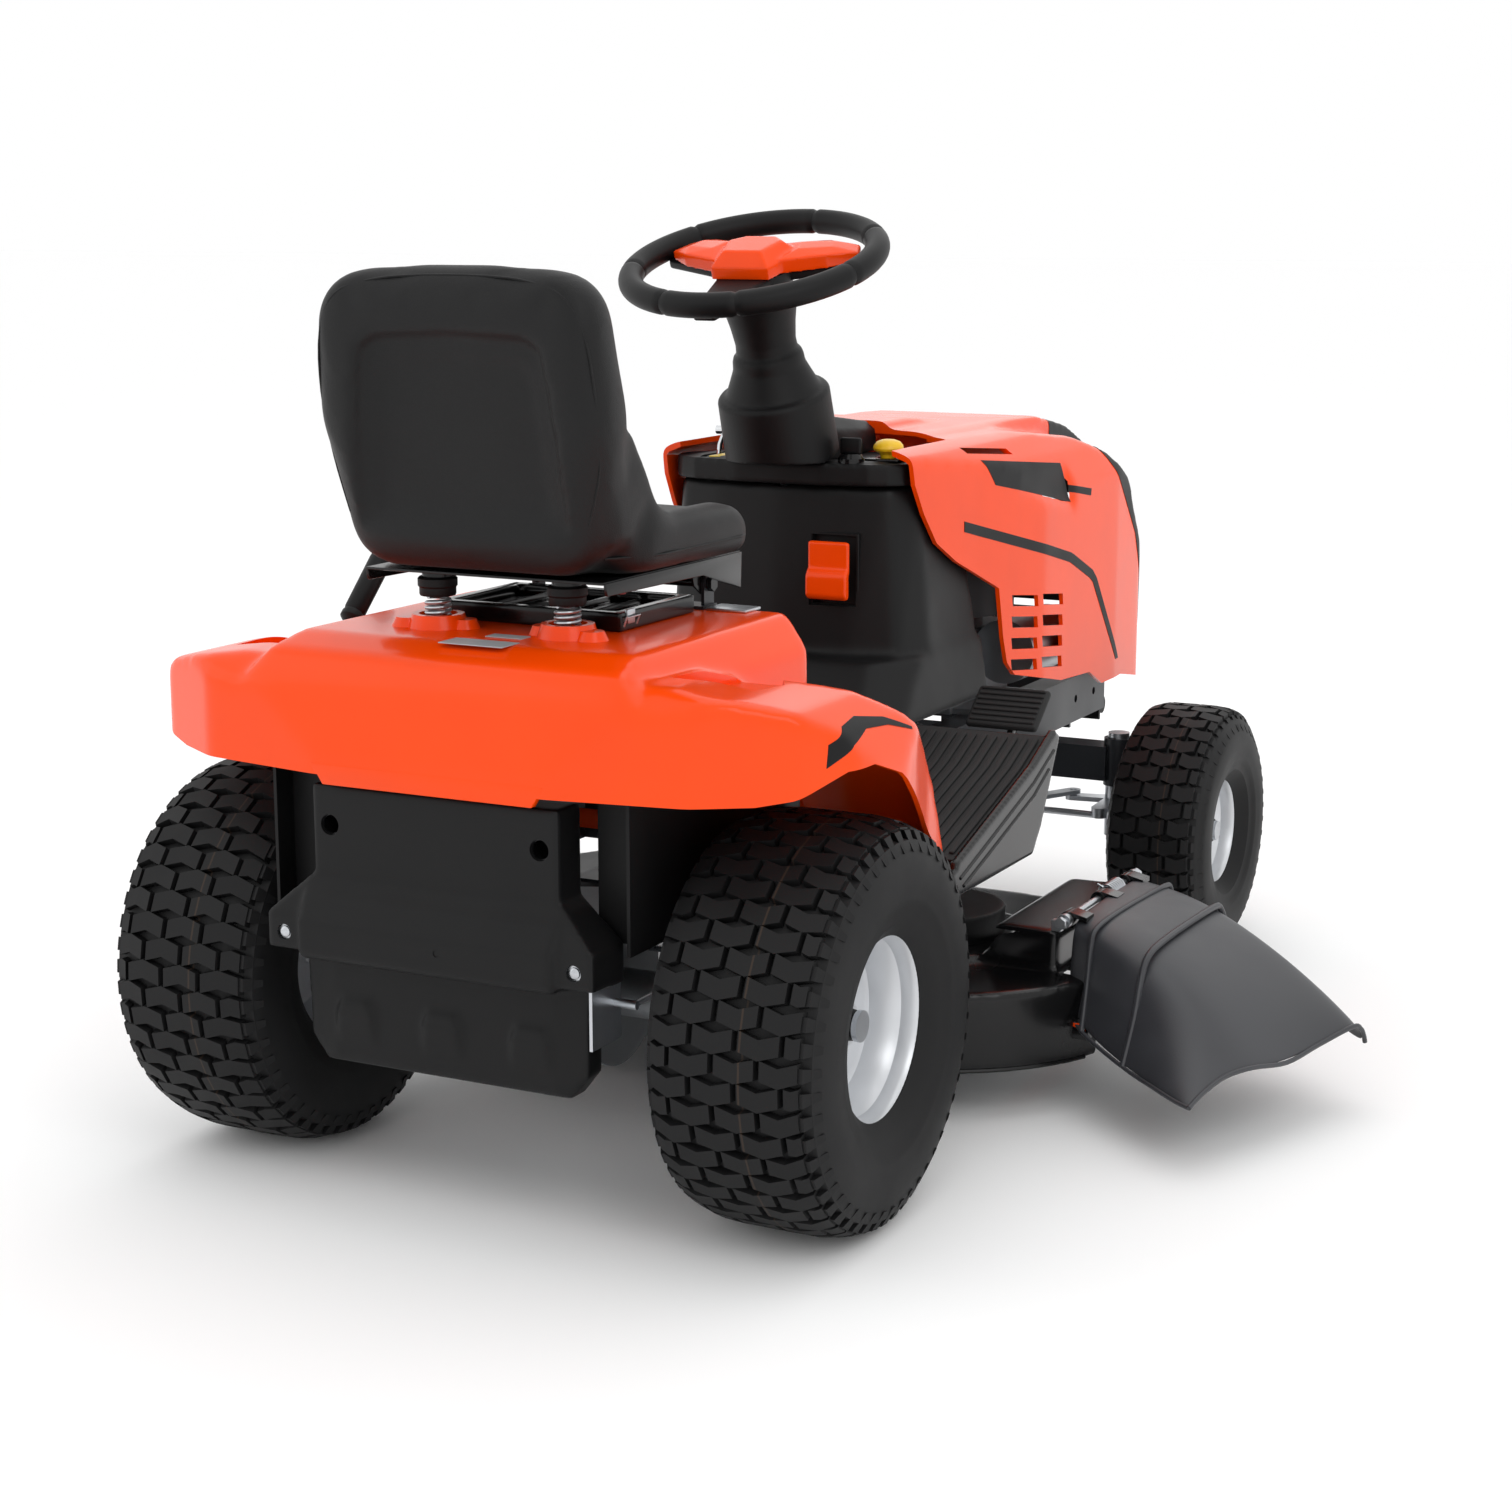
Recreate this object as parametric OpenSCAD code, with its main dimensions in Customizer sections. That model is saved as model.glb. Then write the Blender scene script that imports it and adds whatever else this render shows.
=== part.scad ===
// Ride-on lawn tractor with a side-discharge cutting deck.
// Tractor axes: +X is the driver's right, +Y is forward, +Z is up.
// The modules are drawn from the ground point under the rear axle's centre; place() then moves
// everything so that the origin is the middle of the bounding box, on the ground.

/* [Wheels] */
// Outer diameter of the rear tyres
rear_tyre_d = 457; // [430:1:480]
// Section width of the rear tyres
rear_tyre_w = 205; // [180:1:215]
// Outer diameter of the front tyres
front_tyre_d = 371; // [340:1:390]
// Section width of the front tyres
front_tyre_w = 151; // [130:1:160]
// Bead seat diameter of the rear rims
rear_bead_d = 203; // [180:1:230]
// Bead seat diameter of the front rims
front_bead_d = 152; // [130:1:165]
// Distance between the rear tyres' middles
rear_track = 694; // [680:1:760]
// Distance between the front tyres' middles
front_track = 720; // [705:1:780]
// Distance from the rear axle to the front axle
wheelbase = 1256; // [1240:1:1400]
// Diameter of the rear axle shafts and of the front spindles
axle_d = 19; // [16:0.5:25]

/* [Body] */
// How far the body's rear cover reaches behind the rear axle
tail = 244; // [236:1:280]
// Height of the seat platform on the fender
platform_z = 640; // [630:1:680]
// Half width of the fender over the rear wheels
fender_half = 452; // [445:1:490]
// Thickness of the moulded body panels
panel_t = 4; // [3:0.5:6]
// How far the hood's nose reaches ahead of the front axle
nose = 294; // [285:1:340]
// Height of the hood's top
hood_z = 803; // [795:1:840]
// Half width of the hood
hood_half = 225; // [215:1:230]

/* [Frame] */
// Outer half width across the two frame rails
rail_half = 158; // [150:1:170]
// Height of the rails' lower edge
rail_z = 320; // [312:1:325]
// Depth of the rails
rail_h = 70; // [60:1:74]
// Wall of the rails
rail_t = 4; // [3:0.5:6]

/* [Steering] */
// Outer diameter of the steering wheel
wheel_d = 346; // [320:1:400]
// Thickness of the steering wheel's rim
rim_d = 32; // [26:1:38]
// Tilt of the steering column from upright, in degrees
column_tilt = 18.5; // [15:0.5:22]
// Height of the steering wheel's centre
wheel_z = 1027; // [1000:1:1080]
// Distance of each kingpin from the middle
kingpin_x = 250; // [235:1:262]
// Diameter of the kingpins
kingpin_d = 20; // [16:1:24]

/* [Seat] */
// Width of the seat
seat_w = 376; // [350:1:430]
// Height of the top of the seat's back
seat_top = 1040; // [1000:1:1080]
// Height of the seat hinge
seat_hinge_z = 668; // [662:1:680]

/* [Cutting deck] */
// Radius of the deck over each blade
deck_r = 270; // [262:1:290]
// Distance of each blade spindle from the middle
spindle_x = 235; // [232:1:250]
// Distance of the spindles ahead of the rear axle
deck_y = 600; // [590:1:620]
// Length of each blade
blade_l = 460; // [400:1:462]
// Height of the deck's lower edge
deck_z = 62; // [50:1:75]
// Height of the deck's shell
deck_h = 100; // [90:1:105]
// Reach of the discharge deflector from the middle
chute_reach = 800; // [760:1:840]

/* [Hidden] */
$fn = 48;

orange = "#ff5020";
black = "#1b1b1c";
steel = "#9a9ca0";
frame_grey = "#3a3c40";
run_gap = 0.06;
clear = 0.3;
eps = 0.01;

// Overall box in the tractor's axes, and the shift to the origin at its bottom centre
x_low = -(spindle_x + deck_r);
y_low = -tail;
y_high = wheelbase + nose;
mid_x = (x_low + chute_reach) / 2;
mid_y = (y_low + y_high) / 2;

rear_r = rear_tyre_d / 2;
front_r = front_tyre_d / 2;
rear_x = rear_track / 2;
front_x = front_track / 2;
axle_r = axle_d / 2;
kingpin_r = kingpin_d / 2;
rear_rim_w = 0.86 * rear_tyre_w;
front_rim_w = 0.8 * front_tyre_w;
rail_top = rail_z + rail_h;
rail_in = rail_half - 40;
rail_y = [-125, wheelbase + 190];

// Steering: the tie rod's arm is the same on both knuckles, and the drag link's arm is the same
// on the right-hand knuckle and on the pitman arm, so both linkages are parallelograms
tie_arm = [0, -80];
arm = [-66, -12];
arm_z = 214;
arm_t = 7;
pitman_t = 5;
pitman = [60, 900];
wheel_y = 534;
box_y = wheel_y + (wheel_z - 262) * tan(column_tilt);

// Seat
hinge_y = 200;
seat_half = seat_w / 2;
spring_x = 83;
spring_y = -70;
boss_z = platform_z + 4;

// Hood hinge
hood_hinge_y = wheelbase + 216;
hood_hinge_z = 390;

// Deck
deck_top = deck_z + deck_h;
deck_t = 3;
shaft_r = 12.5;
chute_x = 440;
chute_z = 226;
chute_y = [505, 790];

// Controls
knob_x = 130;
knob_y = 664;
knob_r = 5.4;
key_x = 96;
key_y = 622;
latch_x = [52, 110];
latch_y = 594;
latch_z = 664;
lever_x = -330;
lever_y = 20;
lever_z = 520;
hanger_y = [420, 830];
hanger_r = 5;

module place() translate([-mid_x, -mid_y, 0]) children();
module pair() { children(); mirror([1, 0, 0]) children(); }
// Extrudes a shape drawn in Y and Z along X, between two X values
module along_x(from, to) translate([from, 0, 0]) rotate([90, 0, 90]) linear_extrude(to - from) children();
// Extrudes a shape drawn in X and Z along Y, between two Y values
module along_y(from, to) translate([0, to, 0]) rotate([90, 0, 0]) linear_extrude(to - from) children();
module box(low, high) translate(low) cube(high - low);
module rod_x(x1, x2, y, z, r) translate([x1, y, z]) rotate([0, 90, 0]) cylinder(r = r, h = x2 - x1);
module rod_y(y1, y2, x, z, r) translate([x, y1, z]) rotate([-90, 0, 0]) cylinder(r = r, h = y2 - y1);
module rod_z(z1, z2, x, y, r) translate([x, y, z1]) cylinder(r = r, h = z2 - z1);
function mirrored(points) = concat(points, [for (i = [len(points) - 1 : -1 : 0]) [-points[i][0], points[i][1]]]);
// The steering column's own frame: Z runs up the column from the steering wheel's centre
module column() translate([0, wheel_y, wheel_z]) rotate([column_tilt, 0, 0]) children();

// ---------- Frame ----------
module rail() {
    difference() {
        box([rail_in, rail_y[0], rail_z], [rail_half, rail_y[1], rail_top]);
        box([rail_in - 1, rail_y[0] - 1, rail_z + rail_t], [rail_half - rail_t, rail_y[1] + 1, rail_top - rail_t]);
        for (y = [wheelbase + 60, wheelbase + 140]) rod_x(rail_in, rail_half + 1, y, rail_z + rail_h / 2, 6);
    }
}

module frame_rails() {
    color(frame_grey) {
        pair() rail();
        for (y = [rail_y[0], 300, 700, rail_y[1] - 10])
            box([-rail_in, y, rail_z], [rail_in, y + 5, rail_top]);
    }
}

module seat_support() {
    color(frame_grey) {
        pair() box([rail_in + 6, -60, rail_top], [rail_in + 10, 150, platform_z - panel_t - 30]);
        box([-rail_in - 10, -60, platform_z - panel_t - 30], [rail_in + 10, 150, platform_z - panel_t - 26]);
        pair() box([-60, 146, platform_z - panel_t - 26], [60, 150, platform_z - panel_t - clear]);
        // Pivot pin of the lift lever
        rod_x(lever_x - 14, -rail_in - 10, lever_y, lever_z, 6);
        rod_x(lever_x - 14, lever_x - 9 - clear, lever_y, lever_z, 12);
    }
}

module transaxle() {
    color("#8d9094") difference() {
        union() {
            box([-105, -80, 160], [105, 85, 290]);
            rod_x(-105, 105, 0, rear_r, 85);
            rod_x(-225, 225, 0, rear_r, 27);
            rod_z(280, rail_z, 40, 30, 60);
            box([-rail_half, -40, rail_z - 8], [rail_half, 60, rail_z]);
        }
        rod_x(-226, 226, 0, rear_r, axle_r + run_gap);
    }
}

// ---------- Fender ----------
function fender_plan(t) = mirrored([
    [0, -229 + t], [142, -229 + t], [300, -205 + t], [fender_half - 52, -146 + t],
    [fender_half - 12 - t, -90], [fender_half - t, -40], [fender_half - t, 0],
    [fender_half - 12 - t, 60], [fender_half - 52 - t, 236 - t], [0, 236 - t]]);
function arch_side(t) = [
    [-229 + t, 200], [-229 + t, 520], [-214 + t, 594], [-180, 618 - t], [-60, 612 - t], [0, 594 - t],
    [76 - t, 549 - t], [157 - t, 480], [200 - t, 420], [236 - t, 357], [236 - t, 200]];
function arch_front(t) = mirrored([
    [0, platform_z - 20 - t], [240, platform_z - 20 - t], [fender_half - 92, 600 - t],
    [fender_half - 30 - t, 568 - t], [fender_half - 8 - t, 530], [fender_half - t, 490], [fender_half - t, 190]]);
function centre_side(t) = [
    [-229 + t, 200], [-229 + t, 520], [-214 + t, platform_z - 38], [-196 + t, platform_z - 14 - t],
    [-150, platform_z - t],
    [205 - t, platform_z - t], [205 - t, 200]];
function centre_front(t) = mirrored([
    [0, platform_z - t], [212 - t, platform_z - t], [238 - t, platform_z - 50], [238 - t, 200]]);

module fender_arch(t) intersection() {
    translate([0, 0, 200]) linear_extrude(500) polygon(fender_plan(t));
    along_x(-500, 500) polygon(arch_side(t));
    along_y(-300, 300) polygon(arch_front(t));
}
module fender_centre(t) intersection() {
    translate([0, 0, 200]) linear_extrude(500) polygon(fender_plan(t));
    along_x(-500, 500) polygon(centre_side(t));
    along_y(-300, 300) polygon(centre_front(t));
}
module spring_boss() rod_z(platform_z - eps, boss_z, spring_x, spring_y, 30);

module fender() {
    color(orange) {
        difference() {
            union() {
                fender_arch(0);
                fender_centre(0);
            }
            translate([0, 0, -eps]) union() {
                fender_arch(panel_t);
                fender_centre(panel_t);
            }
            // The lower edge, with the wheel openings
            along_x(-500, 500) polygon([
                [-300, 190], [-300, 498], [-170, 503], [-150, 508], [-100, 532], [-60, 532], [0, 512],
                [47, 482], [139, 416], [222, 352], [300, 340], [300, 190]]);
            box([-214, -210, 190], [214, 300, 560]);
            // Slot for the lift lever
            box([-345, 20, 500], [-315, 170, 700]);
        }
        pair() spring_boss();
        // Trapezoid tab in the middle of the rear skirt
        along_y(-229, -225) polygon([[-142, 503], [-131, 486], [131, 486], [142, 503]]);
    }
}

// ---------- Rear cover ----------
cover_hole_x = 132;
cover_hole_z = 440;
cover_hole_r = 12;
cover_front = -168;
module cover_block(t) {
    box([-155 + t, -216 + t, 340], [155 - t, cover_front, 484 - t]);
    along_x(-206 + t, 206 - t)
        polygon([[-216 + t, 372 - t], [-tail + t, 335 - t], [-tail + t, 300 + t], [-205 + t, 292 + t],
            [cover_front, 292 + t], [cover_front, 372 - t]]);
    box([-180 + t, -205 + t, 168 + t], [180 - t, cover_front, 296]);
}
module rear_cover() {
    color(black) difference() {
        union() {
            difference() {
                cover_block(0);
                translate([0, eps, 0]) cover_block(panel_t);
            }
            pair() rod_y(-216 + 1, -190, cover_hole_x, cover_hole_z, cover_hole_r + 5);
        }
        pair() rod_y(-230, -180, cover_hole_x, cover_hole_z, cover_hole_r);
        box([-150, -218, 300], [150, cover_front + 1, 372 - panel_t]);
    }
    color(black) box([-150, -216, 340], [150, -216 + panel_t, 372]);
}
// Bracket and linkage rod behind the right wheel, beside the transaxle
module cover_bracket() {
    color(steel) {
        box([180 + clear, -200, 225], [184, -140, 290]);
        rod_x(183, 210, -150, 266, 5);
        rod_y(-150, 60, 205, 266, 4);
        rod_x(105 + clear, 205, 56, 266, 4);
    }
}

// ---------- Under the seat ----------
module fuel_tank() {
    color(black) difference() {
        box([-120, -20, platform_z], [120, 150, platform_z + 22]);
        box([-100, 0, platform_z + 18], [60, 130, platform_z + 23]);
    }
}
// Bare coil spring, swept as one tube along a helix
spring_turns = 4.5;
spring_h = 30;
spring_wire = 2.2;
module coil() {
    rings = 96;
    sides = 8;
    radius = 13;
    function ring(i) = let (a = 360 * spring_turns * i / rings, z = spring_wire + (spring_h - 2 * spring_wire) * i / rings)
        [for (k = [0 : sides - 1]) let (b = 360 * k / sides, q = radius + spring_wire * cos(b))
            [q * cos(a), q * sin(a), z + spring_wire * sin(b)]];
    points = [for (i = [0 : rings]) each ring(i)];
    skin = [for (i = [0 : rings - 1], k = [0 : sides - 1])
        [i * sides + k, (i + 1) * sides + k, (i + 1) * sides + (k + 1) % sides, i * sides + (k + 1) % sides]];
    ends = [[for (k = [0 : sides - 1]) k], [for (k = [sides - 1 : -1 : 0]) rings * sides + k]];
    polyhedron(points, concat(skin, ends), convexity = 10);
}
module spring_r() color(steel) translate([spring_x, spring_y, boss_z]) coil();
module spring_l() color(steel) translate([-spring_x, spring_y, boss_z]) coil();

seat_ear_x = 112;
module hinge_bracket() {
    color(frame_grey) difference() {
        union() {
            box([-seat_ear_x - 8, 170, platform_z], [seat_ear_x + 8, 204, platform_z + 4]);
            pair() box([seat_ear_x, 180, platform_z], [seat_ear_x + 4, 204, seat_hinge_z]);
            pair() rod_x(seat_ear_x, seat_ear_x + 4, hinge_y - 8, seat_hinge_z, 12);
        }
        rod_x(-200, 200, hinge_y - 8, seat_hinge_z, 5 + run_gap);
    }
}

// ---------- Console ----------
dash_z = 742;
console_rear = 606;
console_half = 174;
module console_block(t) {
    hull() {
        translate([0, 0, dash_z - 5 - t]) linear_extrude(5) polygon(mirrored([
            [0, console_rear + t], [90, console_rear + 6 + t], [150, console_rear + 20 + t],
            [console_half - t, console_rear + 60], [console_half - t, 790]]));
        translate([0, 0, 500 - t]) linear_extrude(2) polygon(mirrored([
            [0, console_rear - 22 + t], [100, console_rear - 16 + t], [165, console_rear + 10 + t],
            [188 - t, console_rear + 70], [188 - t, 850]]));
    }
    hull() {
        translate([0, 0, 520 - t]) linear_extrude(2) polygon(mirrored([
            [0, 560 + t], [150, 566 + t], [192 - t, 640], [192 - t, 850]]));
        translate([0, 0, 440]) linear_extrude(2) polygon(mirrored([
            [0, 470 + t], [176, 480 + t], [204 - t, 540], [204 - t, 850]]));
    }
    hull() {
        box([-150 + t, 232, 480 - t], [150 - t, 640, 482 - t]);
        box([-205 + t, 232, rail_top], [205 - t, 700, rail_top + 2]);
    }
}
module console() {
    color(black) {
        difference() {
            console_block(0);
            translate([0, eps, -eps]) console_block(panel_t);
            box([-176, 700, 300], [176, 900, 700]);
            column() rod_z(-600, 0, 0, 0, 30);
            box([latch_x[0] - 4, 560, latch_z - 84], [latch_x[1] + 4, 640, latch_z + 12]);
        }
        // Recess behind the latch handle, with its pivot pin
        box([latch_x[0] - 8, latch_y + 12, latch_z - 88], [latch_x[1] + 8, latch_y + 14, latch_z + 16]);
        for (x = [latch_x[0] - 8, latch_x[1] + 1]) box([x, latch_y - 10, latch_z - 16], [x + 7, latch_y + 12, latch_z + 16]);
        rod_x(latch_x[0] - 4, latch_x[1] + 4, latch_y, latch_z, 4);
        // Feet on the rails
        pair() box([rail_in, 600, rail_top], [203, 690, rail_top + panel_t]);
    }
}
module dash() {
    color(black) difference() {
        translate([0, 0, dash_z]) linear_extrude(30) polygon(mirrored([
            [0, console_rear - 10], [90, console_rear - 4], [150, console_rear + 12],
            [console_half, console_rear + 54], [150, console_rear + 56], [150, 788]]));
        column() rod_z(-600, 0, 0, 0, 30);
        rod_z(dash_z - 1, dash_z + 31, knob_x, knob_y, knob_r + clear);
        rod_z(dash_z + 12, dash_z + 31, key_x, key_y, 8 + clear);
        box([-121, 610, dash_z - 1], [-109, 690, dash_z + 31]);
    }
}
// Stepped cowl round the steering column
module column_shroud() {
    color(black) difference() {
        column() rotate_extrude() polygon([
            [20, -44], [50, -44], [44, -70], [38, -105], [42, -128], [48, -140], [60, -172], [72, -176],
            [75, -262], [20, -262]]);
        box([-120, 400, 700], [120, 900, dash_z + 30]);
    }
}

// ---------- Footrests ----------
function floor_line(t) = [[236, 352 - t], [470, 420 - t], [545, 452 - t], [556, 449 - t]];
module footrest_floor() {
    along_x(206, 415) polygon(concat(floor_line(0), [for (i = [3 : -1 : 0]) floor_line(4)[i]]));
    along_x(411, 415) polygon([
        [205, 350], [470, 428], [545, 460], [560, 452], [500, 348], [473, 318], [236, 318], [205, 332]]);
    for (y = [300, 440]) box([rail_half, y, rail_top - 20], [206, y + 20, rail_top - 16]);
    box([204, 236, 346], [207, 470, rail_top - 12]);
}
module footrest_r() color(black) footrest_floor();
module footrest_l() color(black) mirror([1, 0, 0]) footrest_floor();
module mat() along_x(222, 402) polygon([
    [250, 356.3], [250, 359.3], [468, 422.7], [540, 453.1], [540, 450.1], [468, 419.7]]);
module mat_r() color("#101010") mat();
module mat_l() color("#101010") mirror([1, 0, 0]) mat();

// ---------- Engine bay ----------
module engine_block() {
    color("#6f7276") {
        box([-rail_half, 940, rail_top], [rail_half, 1140, rail_top + 8]);
        box([-110, 930, rail_top], [110, 1150, rail_top + 110]);
        rod_z(rail_top + 110, rail_top + 135, 0, 1040, 105);
        for (i = [0 : 6]) box([-70, 1156 + i * 12, rail_top + 25], [70, 1161 + i * 12, rail_top + 115]);
        box([-45, 1150, rail_top + 40], [45, 1245, rail_top + 100]);
    }
    color(steel) rod_z(rail_z - 60, rail_top, 0, 1040, 14);
}
module engine_shroud() {
    color("#26282b") {
        difference() {
            rod_z(rail_top + 135, rail_top + 250, 0, 1040, 150);
            rod_z(rail_top + 134, rail_top + 244, 0, 1040, 144);
            rod_z(rail_top + 240, rail_top + 251, 0, 1040, 70);
            box([-151, 1140, rail_top + 130], [151, 1240, rail_top + 160]);
        }
        difference() {
            rod_z(rail_top + 135, rail_top + 140, 0, 1040, 145);
            rod_z(rail_top + 134, rail_top + 141, 0, 1040, 100);
        }
        box([-150, 950, rail_top + 60], [-110, 1120, rail_top + 130]);
    }
}
module muffler() {
    color("#b9bbbe") {
        rod_y(1000, 1180, 162, rail_top + 84, 46);
        rod_x(110, 162, 1060, rail_top + 84, 16);
        rod_y(1179, 1215, 162, rail_top + 84, 12);
    }
}
module front_guard() {
    color(black) {
        box([-150, rail_y[1], 300], [150, rail_y[1] + 6, 372]);
        pair() box([116, rail_y[1] + 6, 330], [122, hood_hinge_y + 12, hood_hinge_z + 12]);
        rod_x(-122, 122, hood_hinge_y, hood_hinge_z, 6);
        pair() box([rail_in, rail_y[1] - 20, 305], [rail_in + 6, rail_y[1], rail_z]);
        rod_x(-150, 150, rail_y[1] + 15, 322, 14);
    }
}

// ---------- Front axle ----------
pivot_z = 275;
pivot_r = 12;
module axle_bracket() {
    color(frame_grey) difference() {
        for (y = [wheelbase - 40, wheelbase + 34]) union() {
            box([-55, y, pivot_z - 28], [55, y + 6, rail_z]);
            box([-rail_half, y, rail_z - 6], [rail_half, y + 6, rail_z]);
        }
        rod_y(wheelbase - 60, wheelbase + 60, 0, pivot_z, pivot_r - 4);
    }
    color(steel) rod_y(wheelbase - 50, wheelbase + 50, 0, pivot_z, pivot_r - 4);
}
module front_axle() {
    color(black) difference() {
        union() {
            box([-kingpin_x + 12, wheelbase - 25, pivot_z - 26], [kingpin_x - 12, wheelbase + 25, pivot_z + 26]);
            rod_y(wheelbase - 33, wheelbase + 33, 0, pivot_z, 24);
            pair() rod_z(pivot_z - 34, pivot_z + 38, kingpin_x, wheelbase, kingpin_r + 12);
        }
        rod_y(wheelbase - 60, wheelbase + 60, 0, pivot_z, pivot_r - 4 + run_gap);
        pair() rod_z(pivot_z - 60, pivot_z + 60, kingpin_x, wheelbase, kingpin_r + run_gap);
    }
}
module knuckle_body() {
    k = kingpin_x;
    rod_z(arm_z + arm_t, pivot_z + 46, k, wheelbase, kingpin_r);
    rod_z(pivot_z + 38 + clear, pivot_z + 46, k, wheelbase, kingpin_r + 6);
    rod_z(front_r - 22, pivot_z - 34 - clear, k, wheelbase, kingpin_r + 9);
    rod_x(k, front_x + 46, wheelbase, front_r, axle_r);
    rod_x(k, front_x - front_rim_w / 2 + 20, wheelbase, front_r, axle_r + 8);
    rod_x(front_x + 42 + clear, front_x + 48, wheelbase, front_r, axle_r + 5);
}
module steer_arm() difference() {
    union() {
        hull() {
            rod_z(arm_z, arm_z + arm_t, kingpin_x, wheelbase, 16, $fn = 32);
            rod_z(arm_z, arm_z + arm_t, kingpin_x, wheelbase + tie_arm[1], 12, $fn = 32);
        }
        rod_z(arm_z - 8, arm_z, kingpin_x, wheelbase + tie_arm[1], 5);
    }
}
module knuckle_r() {
    color(steel) {
        knuckle_body();
        steer_arm();
        hull() {
            rod_z(arm_z, arm_z + arm_t, kingpin_x, wheelbase, 14, $fn = 32);
            rod_z(arm_z, arm_z + arm_t, kingpin_x + arm[0], wheelbase + arm[1], 12, $fn = 32);
        }
        rod_z(arm_z + arm_t, arm_z + arm_t + 9, kingpin_x + arm[0], wheelbase + arm[1], 5);
    }
}
module knuckle_l() {
    color(steel) mirror([1, 0, 0]) {
        knuckle_body();
        steer_arm();
    }
}
// Flat bar from the pitman arm to the right-hand steering arm
module drag_link() {
    z = arm_z + arm_t + clear;
    from = [kingpin_x + arm[0], wheelbase + arm[1]];
    to = pitman + arm;
    color(steel) difference() {
        hull() for (p = [from, to]) rod_z(z + 2, z + 8, p[0], p[1], 11, $fn = 32);
        rod_z(z, z + 10, from[0], from[1], 5 + run_gap);
    }
}
module tie_rod() {
    z = arm_z - clear;
    y = wheelbase + tie_arm[1];
    color(steel) difference() {
        union() {
            rod_x(-kingpin_x + 9, kingpin_x - 9, y, z - 5, 5);
            pair() rod_z(z - 8, z, kingpin_x, y, 11);
        }
        pair() rod_z(z - 10, z + 1, kingpin_x, y, 5 + run_gap);
    }
}
module steering_box() {
    color("#4a4c50") difference() {
        union() {
            box([-40, box_y - 45, 248], [100, 935, rail_z - 20]);
            box([-rail_half, pitman[1] - 50, rail_z - 20], [rail_half, pitman[1] + 30, rail_z]);
        }
        rod_z(240, rail_z - 30, pitman[0], pitman[1], 10 + run_gap);
        column() rod_z(-900, 0, 0, 0, 9 + run_gap);
    }
}
module pitman_arm() {
    color(steel) {
        rod_z(246, rail_z - 40, pitman[0], pitman[1], 10);
        // Waisted below its box, so the drag link clears it when the axle tilts at full lock
        rod_z(arm_z, 247, pitman[0], pitman[1], 6.5);
        hull() {
            rod_z(arm_z, arm_z + pitman_t, pitman[0], pitman[1], 13, $fn = 32);
            rod_z(arm_z, arm_z + pitman_t, pitman[0] + arm[0], pitman[1] + arm[1], 11, $fn = 32);
        }
    }
}

// ---------- Steering wheel ----------
rim_r = rim_d / 2;
ring_r = wheel_d / 2 - rim_r;
module steering_wheel() {
    color(black) column() {
        rotate_extrude($fn = 96) translate([ring_r, 0]) circle(r = rim_r, $fn = 32);
        difference() {
            rod_z(-42, -9, 0, 0, 46);
            rod_z(-43, -30, 0, 0, 9);
        }
        for (a = [20, 160, 270]) rotate([0, 0, a]) box([30, -17, -22], [ring_r - 6, 17, -10]);
    }
}
module wheel_cover() {
    color(orange) column() {
        rod_z(-9 + eps, 14, 0, 0, 52);
        for (a = [20, 160]) rotate([0, 0, a]) box([50, -24, -9 + eps], [ring_r - 22, 24, 8]);
        rotate([0, 0, 270]) box([50, -20, -9 + eps], [80, 20, 8]);
    }
}
module steering_shaft() {
    color(steel) column() {
        rod_z(-(wheel_z - 275) / cos(column_tilt), -30, 0, 0, 9);
        rod_z(-44 + clear, -42, 0, 0, 19);
    }
}

// ---------- Wheels ----------
// Half sections are [radius, distance across]; the tyre is a hollow carcass on the bead seats
module tyre(d, w, bead_d, rim_w) {
    r = d / 2;
    b = bead_d / 2;
    outer = [
        [b, rim_w / 2 - 9.5], [b + 17, rim_w / 2 - 6], [b + 0.3 * (r - b), w / 2 - 4], [b + 0.5 * (r - b), w / 2],
        [r - 30, w / 2 - 2], [r - 14, w / 2 - 9], [r - 5, w / 2 - 24], [r, w / 2 - 55]];
    inner = [for (p = outer) [p[0] - (p[0] > r - 40 ? 16 : 0), p[1] - 13]];
    function flip(points) = [for (i = [len(points) - 1 : -1 : 0]) [points[i][0], -points[i][1]]];
    rotate([0, 90, 0]) rotate_extrude($fn = 96) union() {
        polygon(concat(outer, flip(outer), [for (i = [0 : len(inner) - 1]) [inner[i][0], -inner[i][1]]],
            [for (i = [len(inner) - 1 : -1 : 0]) inner[i]]));
    }
}
// Stepped rim with its disc set in from the outer flange, which faces +X
module rim(bead_d, rim_w, disc_x, hub_l, bore_r) {
    b = bead_d / 2;
    h = rim_w / 2;
    t = 3;
    half = [[b + 13, h], [b + 13, h - t], [b + 4, h - t - 1], [b - 0, h - 9], [b - 0, h - 26], [b - 12, h - 38]];
    inner = [[b + 13 - t, h], [b + 1, h], [b - t, h - 8], [b - t, h - 27], [b - 12 - t, h - 39]];
    function flip(points) = [for (i = [len(points) - 1 : -1 : 0]) [points[i][0], -points[i][1]]];
    rotate([0, 90, 0]) difference() {
        union() {
            rotate_extrude($fn = 96) polygon(concat(half, flip(half), [for (p = inner) [p[0], -p[1]]],
                [for (i = [len(inner) - 1 : -1 : 0]) inner[i]]));
            translate([0, 0, disc_x]) cylinder(r = b - 12, h = 4);
            translate([0, 0, disc_x - hub_l / 2]) cylinder(r = bore_r + 12, h = hub_l);
        }
        translate([0, 0, -200]) cylinder(r = bore_r, h = 400);
    }
}
module rear_tyre_r() color(black) translate([rear_x, 0, rear_r]) tyre(rear_tyre_d, rear_tyre_w, rear_bead_d, rear_rim_w);
module rear_tyre_l() color(black) translate([-rear_x, 0, rear_r]) tyre(rear_tyre_d, rear_tyre_w, rear_bead_d, rear_rim_w);
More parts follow.
